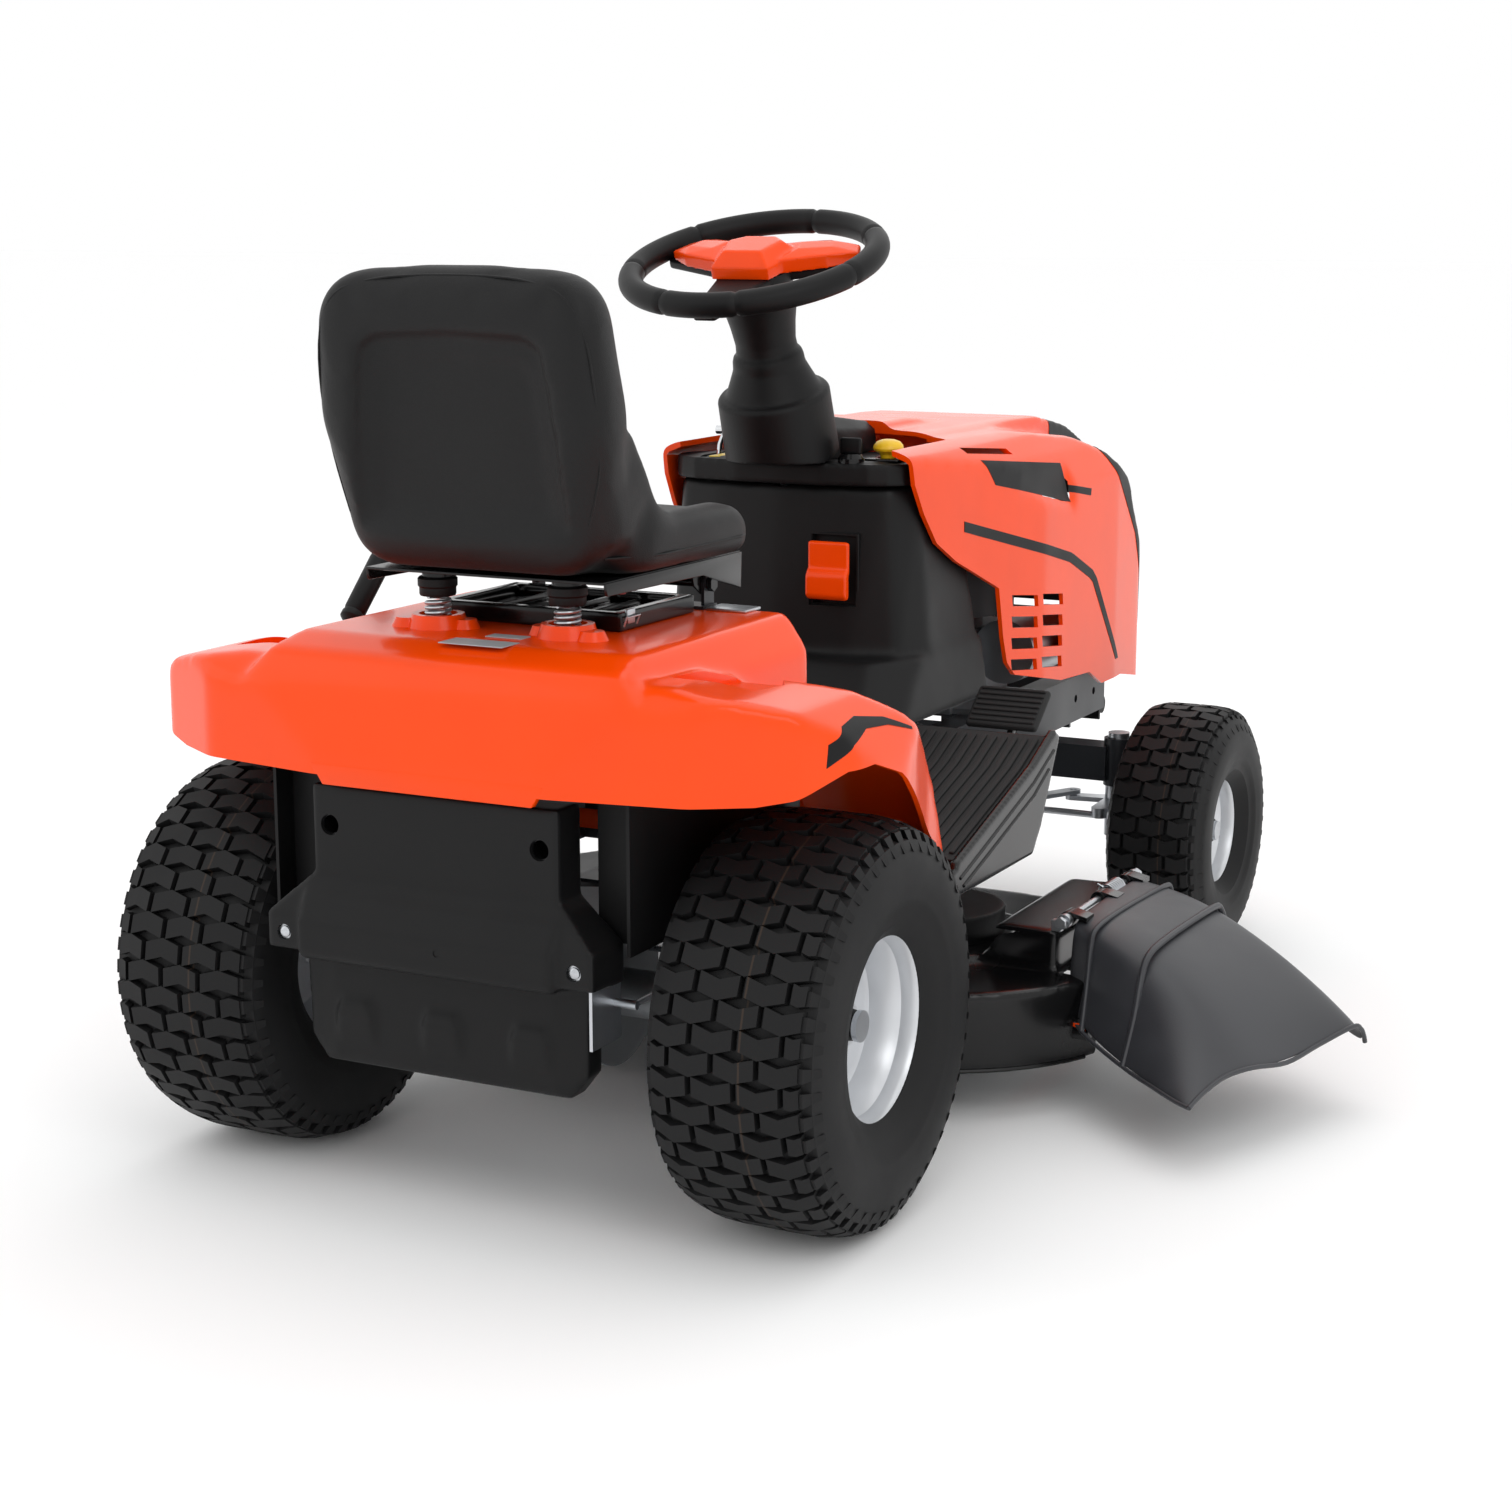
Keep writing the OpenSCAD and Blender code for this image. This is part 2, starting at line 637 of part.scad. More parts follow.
module rear_rim_r() color("#d4d6da") translate([rear_x, 0, rear_r]) rim(rear_bead_d, rear_rim_w, 10, 80, axle_r);
module rear_rim_l() color("#d4d6da") mirror([1, 0, 0])
    translate([rear_x, 0, rear_r]) rim(rear_bead_d, rear_rim_w, 10, 80, axle_r);
module front_place(side) translate([side * front_x, wheelbase, front_r]) children();
module front_tyre_r() color(black) front_place(1) tyre(front_tyre_d, front_tyre_w, front_bead_d, front_rim_w);
module front_tyre_l() color(black) front_place(-1) tyre(front_tyre_d, front_tyre_w, front_bead_d, front_rim_w);
module front_rim_r() color("#d4d6da") front_place(1) rim(front_bead_d, front_rim_w, 5, 74, axle_r + run_gap);
module front_rim_l() color("#d4d6da") mirror([1, 0, 0])
    front_place(1) rim(front_bead_d, front_rim_w, 5, 74, axle_r + run_gap);
module axle_shaft() {
    rod_x(30, rear_x + 56, 0, rear_r, axle_r);
    rod_x(rear_x + 50 + eps, rear_x + 56, 0, rear_r, axle_r + 8);
}
module axle_shaft_r() color(steel) axle_shaft();
module axle_shaft_l() color(steel) mirror([1, 0, 0]) axle_shaft();

// ---------- Seat ----------
plate_z = 704;
module seat_plate() {
    color(black) difference() {
        union() {
            box([-150, -110, plate_z], [150, 205, plate_z + 3]);
            pair() box([150, -110, plate_z - 14], [153, 150, plate_z + 3]);
            pair() box([seat_ear_x - 3.5, 150, seat_hinge_z - 12], [seat_ear_x - clear, 204, plate_z]);
            rod_x(-seat_ear_x + 1, seat_ear_x - 1, hinge_y - 8, seat_hinge_z, 8);
            // Cup stops over the springs
            pair() rod_z(boss_z + spring_h + clear, plate_z, spring_x, spring_y, 19);
        }
        rod_x(-200, 200, hinge_y - 8, seat_hinge_z, 5 - eps);
    }
    color(steel) rod_x(-seat_ear_x - 8, seat_ear_x + 8, hinge_y - 8, seat_hinge_z, 5);
}
// Plain block for the upholstered seat: a base and a back that leans away
module seat_cushion() {
    z = plate_z + 3 + clear;
    color("#161617") {
        hull() {
            for (x = [-1, 1]) {
                rod_z(z, z + 10, x * (seat_half - 50), 160, 46, $fn = 32);
                rod_z(z + 24, z + 42, x * (seat_half - 44), 160, 44, $fn = 32);
                rod_z(z, z + 52, x * (seat_half - 44), -60, 44, $fn = 32);
            }
        }
        hull() {
            for (x = [-1, 1]) {
                rod_y(-146, -60, x * (seat_half - 74), z + 54, 54, $fn = 32);
                rod_y(-172, -100, x * (seat_half - 66), seat_top - 60, 56, $fn = 32);
                rod_y(-160, -86, x * (seat_half - 50), 880, 50, $fn = 32);
            }
        }
    }
}

// ---------- Hood ----------
function hood_plan(t) = mirrored([
    [console_half + 6 - t, 600], [console_half + 26 - t, 800], [hood_half - 2 - t, 1000],
    [hood_half - t, wheelbase + 40], [hood_half - 10 - t, wheelbase + 174], [170 - t, wheelbase + 254 - t],
    [90 - t, y_high - 6 - t], [0, y_high - t]]);
function hood_side(t) = [
    [590, 340], [590, hood_z - 7 - t], [800, hood_z - 1 - t], [1000, hood_z - t], [1200, hood_z - 8 - t],
    [wheelbase + 64, hood_z - 30 - t], [wheelbase + 144 - t, hood_z - 60 - t],
    [wheelbase + 199 - t, hood_z - 115 - t], [wheelbase + 236 - t, 610], [wheelbase + 266 - t, 510],
    [y_high - 6 - t, 420], [y_high - t, 368], [y_high - t, 340]];
function hood_front(t) = mirrored([
    [0, hood_z - t], [110, hood_z - 4 - t], [175 - t, hood_z - 20 - t], [hood_half - 18 - t, hood_z - 50 - t],
    [hood_half - t, hood_z - 95], [hood_half - t, 340]]);
// The nose falls away earlier beside the centre ridge
function hood_shoulder(t) = [
    [590, 340], [590, hood_z - 7 - t], [1000, hood_z - 12 - t], [1180, hood_z - 34 - t],
    [wheelbase + 20 - t, hood_z - 64 - t], [wheelbase + 104 - t, hood_z - 108 - t],
    [wheelbase + 176 - t, 600], [wheelbase + 232 - t, 500], [wheelbase + 272 - t, 410],
    [wheelbase + 280 - t, 340]];
module hood_body(t) intersection() {
    translate([0, 0, 340]) linear_extrude(600) polygon(hood_plan(t));
    union() {
        along_x(-130 + t, 130 - t) polygon(hood_side(t));
        along_x(-400, 400) polygon(hood_shoulder(t));
    }
    along_y(500, 1800) polygon(hood_front(t));
}
module hood() {
    color(orange) difference() {
        hood_body(0);
        translate([0, 0, -eps]) hood_body(panel_t);
        // Opening round the dash
        box([-154, 500, 700], [154, 800, 900]);
        // Rear and lower edges
        along_x(-400, 400) polygon([
            [500, 900], [612, 900], [624, 778], [632, 745], [655, 705], [690, 664], [745, 634], [865, 585],
            [880, 514], [915, 458], [1072, 427], [1190, 421], [1245, 396], [1334, 396], [1459, 374],
            [1700, 374], [1700, 300], [500, 300]]);
        // Side windows, and slots in front of the muffler
        pair() along_x(150, 300) polygon([[830, 758], [1060, 738], [1090, 684], [860, 728]]);
        pair() for (i = [0 : 3]) for (j = [0 : 1])
            box([150, 900 + j * 95, 560 - i * 28 - j * 8], [300, 980 + j * 95, 574 - i * 28 - j * 8]);
        // Opening for the grille
        box([-140, wheelbase + 150, 420], [140, 1700, 660]);
    }
    // Hinge lugs inside the nose
    color(orange) intersection() {
        hood_body(1);
        pair() difference() {
            union() {
                rod_x(104, 110, hood_hinge_y, hood_hinge_z, 13);
                box([104, hood_hinge_y, hood_hinge_z - 8], [110, y_high, hood_hinge_z + 12]);
            }
            rod_x(100, 114, hood_hinge_y, hood_hinge_z, 6 + run_gap);
        }
    }
}
module hood_grille() {
    color("#2b2d30") difference() {
        intersection() {
            difference() {
                hood_body(panel_t + clear);
                hood_body(2 * panel_t + clear);
            }
            box([-160, wheelbase + 120, 404], [160, 1700, 680]);
        }
        for (i = [0 : 8]) box([-120, wheelbase + 100, 436 + i * 26], [120, 1700, 448 + i * 26]);
    }
}

// ---------- Cutting deck ----------
module deck_outline(t) {
    for (x = [-spindle_x, spindle_x]) translate([x, deck_y]) circle(r = deck_r - t, $fn = 96);
    translate([-spindle_x, deck_y - deck_r + t]) square([2 * spindle_x, 2 * (deck_r - t)]);
}
module deck_shell() {
    color(black) difference() {
        union() {
            difference() {
                translate([0, 0, deck_z]) linear_extrude(deck_h) deck_outline(0);
                translate([0, 0, deck_z - 1]) linear_extrude(deck_h + 1 - deck_t) deck_outline(deck_t);
                box([330, chute_y[0] + 3, deck_z - 1], [600, chute_y[1] - 3, deck_top + 1]);
            }
            // Raised tunnel to the discharge opening
            difference() {
                box([330, chute_y[0], deck_top - 3], [436, chute_y[1], chute_z - 11]);
                box([333, chute_y[0] + 3, deck_z - 1], [437, chute_y[1] - 3, chute_z - 14]);
            }
            for (x = [-1, 1]) rod_z(deck_top - 55, deck_top + 8, x * spindle_x, deck_y, 32);
            for (x = [-138, 138], y = hanger_y) rod_z(deck_top - 3, deck_top + 36, x, y, 11);
            for (y = [chute_y[0] + 10, chute_y[1] - 20]) difference() {
                union() {
                    box([424, y, chute_z - 12], [436, y + 10, chute_z]);
                    rod_y(y, y + 10, chute_x, chute_z, 9);
                }
                rod_y(y - 1, y + 11, chute_x, chute_z, 5);
            }
            rod_y(chute_y[0] + 4, chute_y[1] - 4, chute_x, chute_z, 5);
        }
        for (x = [-1, 1]) rod_z(deck_z, deck_top + 20, x * spindle_x, deck_y, shaft_r + run_gap);
        for (x = [-138, 138], y = hanger_y) rod_z(deck_z, deck_top + 40, x, y, hanger_r + 0.1);
    }
}
module deck_hangers() {
    color(steel) {
        for (x = [-138, 138], y = hanger_y) rod_z(deck_top + 4, rail_z, x, y, hanger_r);
    }
}
module belt_cover() difference() {
    union() {
        rod_z(deck_top, deck_top + 46, spindle_x, deck_y, 88);
        box([120, deck_y - 60, deck_top], [spindle_x, deck_y + 60, deck_top + 40]);
    }
    rod_z(deck_top - 1, deck_top + 43, spindle_x, deck_y, 85);
    box([119, deck_y - 57, deck_top - 1], [spindle_x, deck_y + 57, deck_top + 37]);
}
module belt_cover_r() color(black) belt_cover();
module belt_cover_l() color(black) mirror([1, 0, 0]) belt_cover();
module spindle() {
    rod_z(deck_z + 16, deck_top + 34, spindle_x, deck_y, shaft_r);
    rod_z(deck_top + 8 + clear, deck_top + 13, spindle_x, deck_y, 20);
    rod_z(deck_top + 13, deck_top + 28, spindle_x, deck_y, 62);
    rod_z(deck_z + 24, deck_top - 55 - clear, spindle_x, deck_y, 22);
    box([spindle_x - 29, deck_y - blade_l / 2, deck_z + 20], [spindle_x + 29, deck_y + blade_l / 2, deck_z + 25]);
}
module spindle_r() color(steel) spindle();
module spindle_l() color(steel) mirror([1, 0, 0]) spindle();

// Sloping deflector: a top panel, a flared panel and a rear side wall, on hinge barrels
module sheet(points) hull() for (p = points) translate(p - [2, 2, 2]) cube(4);
module deflector() {
    hinge = [[chute_x + 10, chute_y[0] + 25, chute_z + 5], [chute_x + 10, chute_y[1] - 26, chute_z + 5]];
    fold = [[chute_x + 122, 474, 210], [chute_x + 134, 728, 214]];
    lip = [[chute_reach - 122, 304, 84], [chute_reach - 2, 627, 84]];
    foot = [[524, 436, 84], [520, 770, 90]];
    color("#26272a") difference() {
        union() {
            sheet([hinge[0], hinge[1], fold[0], fold[1]]);
            sheet([fold[0], fold[1], lip[0], lip[1]]);
            sheet([hinge[0], fold[0], foot[0]]);
            sheet([fold[0], lip[0], foot[0]]);
            sheet([hinge[1], fold[1], foot[1]]);
            for (y = [chute_y[0] + 20 + clear, 640, chute_y[1] - 50 - clear])
                rod_y(y, y + 30, chute_x, chute_z, 10);
        }
        rod_y(chute_y[0], chute_y[1], chute_x, chute_z, 5 + run_gap);
    }
}

// ---------- Controls ----------
pedal_y = 596;
pedal_z = 346;
module brake_pedal() {
    color(black) {
        rod_x(rail_half + clear, 345, pedal_y, pedal_z, 8);
        along_x(318, 326) polygon([[pedal_y - 7, pedal_z], [pedal_y + 7, pedal_z - 4],
            [pedal_y + 30, pedal_z + 74], [pedal_y + 60, pedal_z + 112], [pedal_y + 46, pedal_z + 118],
            [pedal_y + 16, pedal_z + 78]]);
        translate([0, pedal_y + 48, pedal_z + 117]) rotate([38, 0, 0]) box([262, -34, -6], [360, 34, 6]);
    }
}
module throttle_lever() {
    color("#c9ccd0") {
        rod_x(-121 + clear, -109 - clear, 650, dash_z + 8, 7);
        translate([-115, 650, dash_z + 8]) rotate([-20, 0, 0]) rod_z(0, 62, 0, 0, 3.5);
        translate([-115, 650, dash_z + 8]) rotate([-20, 0, 0]) rod_x(-9, 9, 0, 60, 6);
    }
}
module pto_knob() {
    color("#e6c21a") {
        rod_z(dash_z + clear, dash_z + 46, knob_x, knob_y, knob_r);
        rod_z(dash_z + 46, dash_z + 58, knob_x, knob_y, 20);
        rod_z(dash_z + 36, dash_z + 46, knob_x, knob_y, 12);
    }
}
module key() {
    color("#141414") {
        rod_z(dash_z + 12 + clear, dash_z + 38, key_x, key_y, 8);
        box([key_x - 15, key_y - 4, dash_z + 38], [key_x + 15, key_y + 4, dash_z + 62]);
    }
}
// Handle on the console's rear face, hinged along its top edge
module latch_handle() {
    color(orange) {
        difference() {
            union() {
                rod_x(latch_x[0], latch_x[1], latch_y, latch_z, 9);
                box([latch_x[0], latch_y - 18, latch_z - 78], [latch_x[1], latch_y - 4, latch_z]);
            }
            rod_x(latch_x[0] - 1, latch_x[1] + 1, latch_y, latch_z, 4 + run_gap);
        }
    }
}
module lift_lever() {
    color(black) difference() {
        union() {
            translate([lever_x, lever_y, lever_z]) rotate([-46, 0, 0]) {
                rod_z(0, 150, 0, 0, 6);
                rod_z(120, 232, 0, 0, 14);
            }
            rod_x(lever_x - 9, lever_x + 9, lever_y, lever_z, 14);
        }
        rod_x(lever_x - 20, lever_x + 20, lever_y, lever_z, 6 + run_gap);
    }
}

place() frame_rails();
place() seat_support();
place() transaxle();
place() fender();
place() rear_cover();
place() cover_bracket();
place() fuel_tank();
place() spring_l();
place() spring_r();
place() hinge_bracket();
place() console();
place() dash();
place() column_shroud();
place() footrest_l();
place() footrest_r();
place() mat_l();
place() mat_r();
place() engine_block();
place() engine_shroud();
place() muffler();
place() front_guard();
place() axle_bracket();
place() steering_box();
place() deck_hangers();
place() steering_wheel();
place() wheel_cover();
place() steering_shaft();
place() pitman_arm();
place() drag_link();
place() tie_rod();
place() front_axle();
place() knuckle_l();
place() knuckle_r();
place() front_tyre_l();
place() front_tyre_r();
place() front_rim_l();
place() front_rim_r();
place() rear_tyre_l();
place() rear_tyre_r();
place() rear_rim_l();
place() rear_rim_r();
place() axle_shaft_l();
place() axle_shaft_r();
place() seat_plate();
place() seat_cushion();
place() hood();
place() hood_grille();
place() deck_shell();
place() belt_cover_l();
place() belt_cover_r();
place() spindle_l();
place() spindle_r();
place() deflector();
place() brake_pedal();
place() throttle_lever();
place() pto_knob();
place() key();
place() latch_handle();
place() lift_lever();
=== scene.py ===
"""Looks of a ride-on lawn tractor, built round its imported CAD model.

Sizes are in millimetres in the tractor's own axes: +X is the driver's right, +Y is forward,
+Z is up, and the origin is on the ground under the rear axle's centre.
"""
import math

import bmesh
import bpy
from bpy.props import FloatProperty, FloatVectorProperty, IntProperty, PointerProperty
from mathutils import Matrix, Vector
from mathutils.bvhtree import BVHTree


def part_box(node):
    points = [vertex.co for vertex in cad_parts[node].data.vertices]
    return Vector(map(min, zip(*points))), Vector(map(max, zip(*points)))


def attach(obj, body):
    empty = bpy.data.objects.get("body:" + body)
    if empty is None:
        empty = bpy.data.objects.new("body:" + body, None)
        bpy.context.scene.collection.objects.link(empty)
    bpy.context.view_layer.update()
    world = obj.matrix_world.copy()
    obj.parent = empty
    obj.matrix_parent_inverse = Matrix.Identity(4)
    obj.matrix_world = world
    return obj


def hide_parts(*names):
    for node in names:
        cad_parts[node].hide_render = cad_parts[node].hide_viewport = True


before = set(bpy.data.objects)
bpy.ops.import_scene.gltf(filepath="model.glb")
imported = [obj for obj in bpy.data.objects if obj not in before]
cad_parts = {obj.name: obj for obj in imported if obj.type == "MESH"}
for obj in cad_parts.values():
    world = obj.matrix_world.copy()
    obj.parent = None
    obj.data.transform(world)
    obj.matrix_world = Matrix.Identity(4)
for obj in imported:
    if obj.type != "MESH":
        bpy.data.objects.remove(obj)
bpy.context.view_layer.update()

bl_info = {
    "name": "Lawn tractor",
    "version": (1, 0, 0),
    "blender": (4, 5, 0),
    "location": "View3D > Sidebar > Lawn Tractor",
    "description": "Builds the looks of a ride-on lawn tractor round its CAD frame",
    "category": "Object",
}

MM = 0.001
X, Y, Z = Vector((1, 0, 0)), Vector((0, 1, 0)), Vector((0, 0, 1))

left_low, left_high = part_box("rear_tyre_l")
right_low, right_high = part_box("rear_tyre_r")
ORIGIN = Vector(((left_low.x + right_high.x) / 2, (left_low.y + left_high.y) / 2, 0))
REAR_R = (right_high.z - right_low.z) / 2 / MM
REAR_W = (right_high.x - right_low.x) / MM
REAR_X = ((right_high.x + right_low.x) / 2 - ORIGIN.x) / MM
front_low, front_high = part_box("front_tyre_r")
FRONT_R = (front_high.z - front_low.z) / 2 / MM
FRONT_W = (front_high.x - front_low.x) / MM
FRONT_X = ((front_high.x + front_low.x) / 2 - ORIGIN.x) / MM
WHEELBASE = ((front_high.y + front_low.y) / 2 - ORIGIN.y) / MM

# Steering column: its own frame has Z up the column from the steering wheel's centre
TILT = math.radians(18.5)
WHEEL_Y, WHEEL_Z = 534, 1027
PLATFORM_Z = 640
HOOD_HALF = 225
# Places across and along: the right seat spring, and the right blade's spindle
SPRING = (83, -70)
SPINDLE_X, SPINDLE_Y = 235, 600


def at(x, y, z):
    """A point in the tractor's axes, in the row frame."""
    return ORIGIN + Vector((x, y, z)) * MM


COLUMN = Matrix.Translation(at(0, WHEEL_Y, WHEEL_Z)) @ Matrix.Rotation(TILT, 4, "X")


# ---------- Sizes and colours that a user may change ----------
def srgb(code):
    """Linear RGBA of an sRGB hex colour such as "ff5020"."""
    channels = [int(code[i:i + 2], 16) / 255 for i in (0, 2, 4)]
    return tuple(c / 12.92 if c <= 0.04045 else ((c + 0.055) / 1.055) ** 2.4 for c in channels) + (1.0,)


def colour(name, text, code):
    return FloatVectorProperty(name=name, description=text, subtype="COLOR", size=4, min=0, max=1,
                               default=srgb(code))


class TractorFinishes(bpy.types.PropertyGroup):
    panel: colour("Panels", "Colour of the hood, the fender and the latch handle", "f64700")
    moulding: colour("Mouldings", "Colour of the console, the dash and the rear cover", "0b0b0c")
    seat: colour("Seat", "Colour of the seat's vinyl", "0a0a0b")
    rim: colour("Rims", "Colour of the wheel rims' paint", "d3d5d8")
    frame_paint: colour("Frame", "Colour of the frame's powder coat", "2a2c30")


class TractorSizes(bpy.types.PropertyGroup):
    rear_rows: IntProperty(name="Rear tread rows", description="Rows of tread blocks round a rear tyre",
                           default=52, min=30, max=70)
    front_rows: IntProperty(name="Front tread rows", description="Rows of tread blocks round a front tyre",
                            default=44, min=26, max=60)
    tread_depth: FloatProperty(name="Tread depth", description="Height of the tread blocks",
                               default=0.008, min=0.004, max=0.012, unit="LENGTH")
    swell: FloatProperty(name="Seat swell", description="How far the seat's padding may swell",
                         default=0.002, min=0.002, max=0.02, unit="LENGTH")
    mat_ribs: IntProperty(name="Mat ribs", description="Ribs along each foot mat", default=13, min=6,
                          max=20)


# ---------- Mesh helpers ----------
def prism(axis, outline, low, high):
    """A closed solid: an outline in the plane across an axis, extruded between two places on it."""
    bm = bmesh.new()
    where = {"X": lambda a, b: at(low, a, b), "Y": lambda a, b: at(a, low, b), "Z": lambda a,
             b: at(a, b, low)}
    face = bm.faces.new([bm.verts.new(where[axis](a, b)) for a, b in outline])
    made = bmesh.ops.extrude_face_region(bm, geom=[face])["geom"]
    step = {"X": X, "Y": Y, "Z": Z}[axis] * (high - low) * MM
    bmesh.ops.translate(bm, vec=step, verts=[v for v in made if isinstance(v, bmesh.types.BMVert)])
    bmesh.ops.recalc_face_normals(bm, faces=bm.faces)
    return bm


def mirrored(outline):
    """An outline given for the right-hand half, closed with its mirror image across X = 0."""
    return list(outline) + [(-a, b) for a, b in reversed(outline) if a > 0.01]


def block(low, high, matrix=None):
    """A box between two corners."""
    bm = bmesh.new()
    middle = (Vector(low) + Vector(high)) / 2
    size = Vector(high) - Vector(low)
    base = Matrix.Translation(at(*middle)) if matrix is None else matrix @ Matrix.Translation(middle * MM)
    bmesh.ops.create_cube(bm, size=1, matrix=base @ Matrix.Diagonal((*(size * MM), 1)))
    return bm


def rod(start, end, radius, sides=32, radius2=None, matrix=None):
    """A cylinder or cone between two points."""
    bm = bmesh.new()
    place = (lambda p: at(*p)) if matrix is None else (lambda p: matrix @ (Vector(p) * MM))
    a, b = place(start), place(end)
    turn = (b - a).to_track_quat("Z", "Y").to_matrix().to_4x4()
    bmesh.ops.create_cone(bm, cap_ends=True, segments=sides, radius1=radius * MM,
                          radius2=(radius if radius2 is None else radius2) * MM, depth=(b - a).length,
                          matrix=Matrix.Translation((a + b) / 2) @ turn)
    return bm


def ball(centre, radii):
    """An ellipsoid."""
    bm = bmesh.new()
    base = Matrix.Translation(at(*centre))
    bmesh.ops.create_uvsphere(bm, u_segments=24, v_segments=12, radius=1,
                              matrix=base @ Matrix.Diagonal((*(Vector(radii) * MM), 1)))
    return bm


def turned(profile, matrix, steps=64):
    """A profile of (radius, height) points spun once round the local Z axis of matrix."""
    bm = bmesh.new()
    ring = [bm.verts.new((r * MM, 0, h * MM)) for r, h in profile]
    edges = [bm.edges.new(pair) for pair in zip(ring, ring[1:])]
    if (Vector(profile[0]) - Vector(profile[-1])).length < 1e-6:
        bmesh.ops.remove_doubles(bm, verts=bm.verts, dist=1e-7)
        edges = bm.edges[:]
    bmesh.ops.spin(bm, geom=bm.verts[:] + edges, cent=(0, 0, 0), axis=(0, 0, 1), dvec=(0, 0, 0),
                   angle=math.tau, steps=steps, use_merge=True)
    bmesh.ops.remove_doubles(bm, verts=bm.verts, dist=1e-6)
    bmesh.ops.recalc_face_normals(bm, faces=bm.faces)
    bmesh.ops.transform(bm, matrix=matrix, verts=bm.verts)
    return bm


def tube(points, radius, sides=10, matrix=None):
    """A round bar that follows a path of points."""
    place = (lambda p: at(*p)) if matrix is None else (lambda p: matrix @ (Vector(p) * MM))
    path = [place(p) for p in points]
    bm = bmesh.new()
    ring = None
    for i, p in enumerate(path):
        ahead = path[min(i + 1, len(path) - 1)] - path[max(i - 1, 0)]
        turn = ahead.to_track_quat("Z", "Y").to_matrix().to_4x4()
        matrix_here = Matrix.Translation(p) @ turn
        made = bmesh.ops.create_circle(bm, cap_ends=i in (0, len(path) - 1), segments=sides,
                                       radius=radius * MM, matrix=matrix_here)["verts"]
        loop = list({e for v in made for e in v.link_edges if all(w in made for w in e.verts)})
        if ring:
            bmesh.ops.bridge_loops(bm, edges=ring + loop)
        ring = loop
    bmesh.ops.recalc_face_normals(bm, faces=bm.faces)
    return bm


def hull(points):
    """The convex solid round some points."""
    bm = bmesh.new()
    for p in points:
        bm.verts.new(at(*p))
    made = bmesh.ops.convex_hull(bm, input=bm.verts)
    spare = {v for v in made["geom_interior"] + made["geom_unused"] if isinstance(v, bmesh.types.BMVert)}
    bmesh.ops.delete(bm, geom=list(spare), context="VERTS")
    bmesh.ops.dissolve_limit(bm, angle_limit=math.radians(0.5), verts=bm.verts, edges=bm.edges)
    bmesh.ops.recalc_face_normals(bm, faces=bm.faces)
    return bm


def wrapped(points, matrix):
    """The convex solid round some points given in the frame of matrix."""
    bm = bmesh.new()
    for p in points:
        bm.verts.new(matrix @ (Vector(p) * MM))
    bmesh.ops.convex_hull(bm, input=bm.verts)
    bmesh.ops.recalc_face_normals(bm, faces=bm.faces)
    return bm


def rounded(bm, radius, segments=3, angle=25):
    """Bevels the edges that turn by more than an angle."""
    bmesh.ops.remove_doubles(bm, verts=bm.verts, dist=1e-6)
    edges = [e for e in bm.edges if len(e.link_faces) == 2 and e.calc_face_angle(0) > math.radians(angle)]
    bmesh.ops.bevel(bm, geom=edges, offset=radius * MM, offset_type="OFFSET", segments=segments,
                    profile=0.5,
                    affect="EDGES", clamp_overlap=True, material=-1)
    return bm


def together(*parts):
    """Several meshes in one."""
    bm = bmesh.new()
    for part in parts:
        mesh = bpy.data.meshes.new("part")
        part.to_mesh(mesh)
        bm.from_mesh(mesh)
        bpy.data.meshes.remove(mesh)
        part.free()
    return bm


def flipped(bm):
    """The mirror image of a mesh across the tractor's middle."""
    mirror = Matrix.Translation(2 * ORIGIN.x * X) @ Matrix.Scale(-1, 4, X)
    bmesh.ops.transform(bm, matrix=mirror, verts=bm.verts)
    bmesh.ops.reverse_faces(bm, faces=bm.faces)
    return bm


def both_sides(bm):
    """A mesh with its mirror image across the tractor's middle."""
    return together(bm, flipped(bm.copy()))


def temporary(bm):
    """A scene object that holds a mesh while modifiers work on it."""
    mesh = bpy.data.meshes.new("tool")
    bm.to_mesh(mesh)
    bm.free()
    tool = bpy.data.objects.new("tool", mesh)
    bpy.context.scene.collection.objects.link(tool)
    return tool


def worked(bm, steps):
    """A mesh after modifiers: ("UNION" or "DIFFERENCE" or "INTERSECT", mesh), ("SOFTEN", voxel mm, turns)."""
    base = temporary(bm)
    tools = []
    for step in steps:
        if step[0] == "SOFTEN":
            remesh = base.modifiers.new("remesh", "REMESH")
            remesh.mode, remesh.voxel_size = "VOXEL", step[1] * MM
            smooth = base.modifiers.new("smooth", "SMOOTH")
            smooth.factor, smooth.iterations = 0.5, step[2]
        else:
            tools.append(temporary(step[1]))
            cut = base.modifiers.new("cut", "BOOLEAN")
            cut.operation, cut.object, cut.solver = step[0], tools[-1], "MANIFOLD"
    bpy.context.view_layer.update()
    result = bpy.data.meshes.new_from_object(base.evaluated_get(bpy.context.evaluated_depsgraph_get()))
    done = bmesh.new()
    done.from_mesh(result)
    for thing in [base, *tools]:
        mesh = thing.data
        bpy.data.objects.remove(thing)
        bpy.data.meshes.remove(mesh)
    bpy.data.meshes.remove(result)
    if not done.faces:
        raise RuntimeError("a boolean step left nothing")
    return done


def meet(*solids):
    """What several solids have in common."""
    return worked(solids[0], [("INTERSECT", s) for s in solids[1:]])


def swollen(bm, distance):
    """A copy with every point moved out along its normal, or in for a negative distance."""
    copy = bm.copy()
    copy.normal_update()
    for v in copy.verts:
        v.co += v.normal * distance * MM
    return copy


def overlay(skin, window, lift=0.9, sink=1.5):
    """A thin layer that hugs a closed skin inside a window."""
    return worked(swollen(skin, lift), [("INTERSECT", window), ("DIFFERENCE", swollen(skin, -sink))])


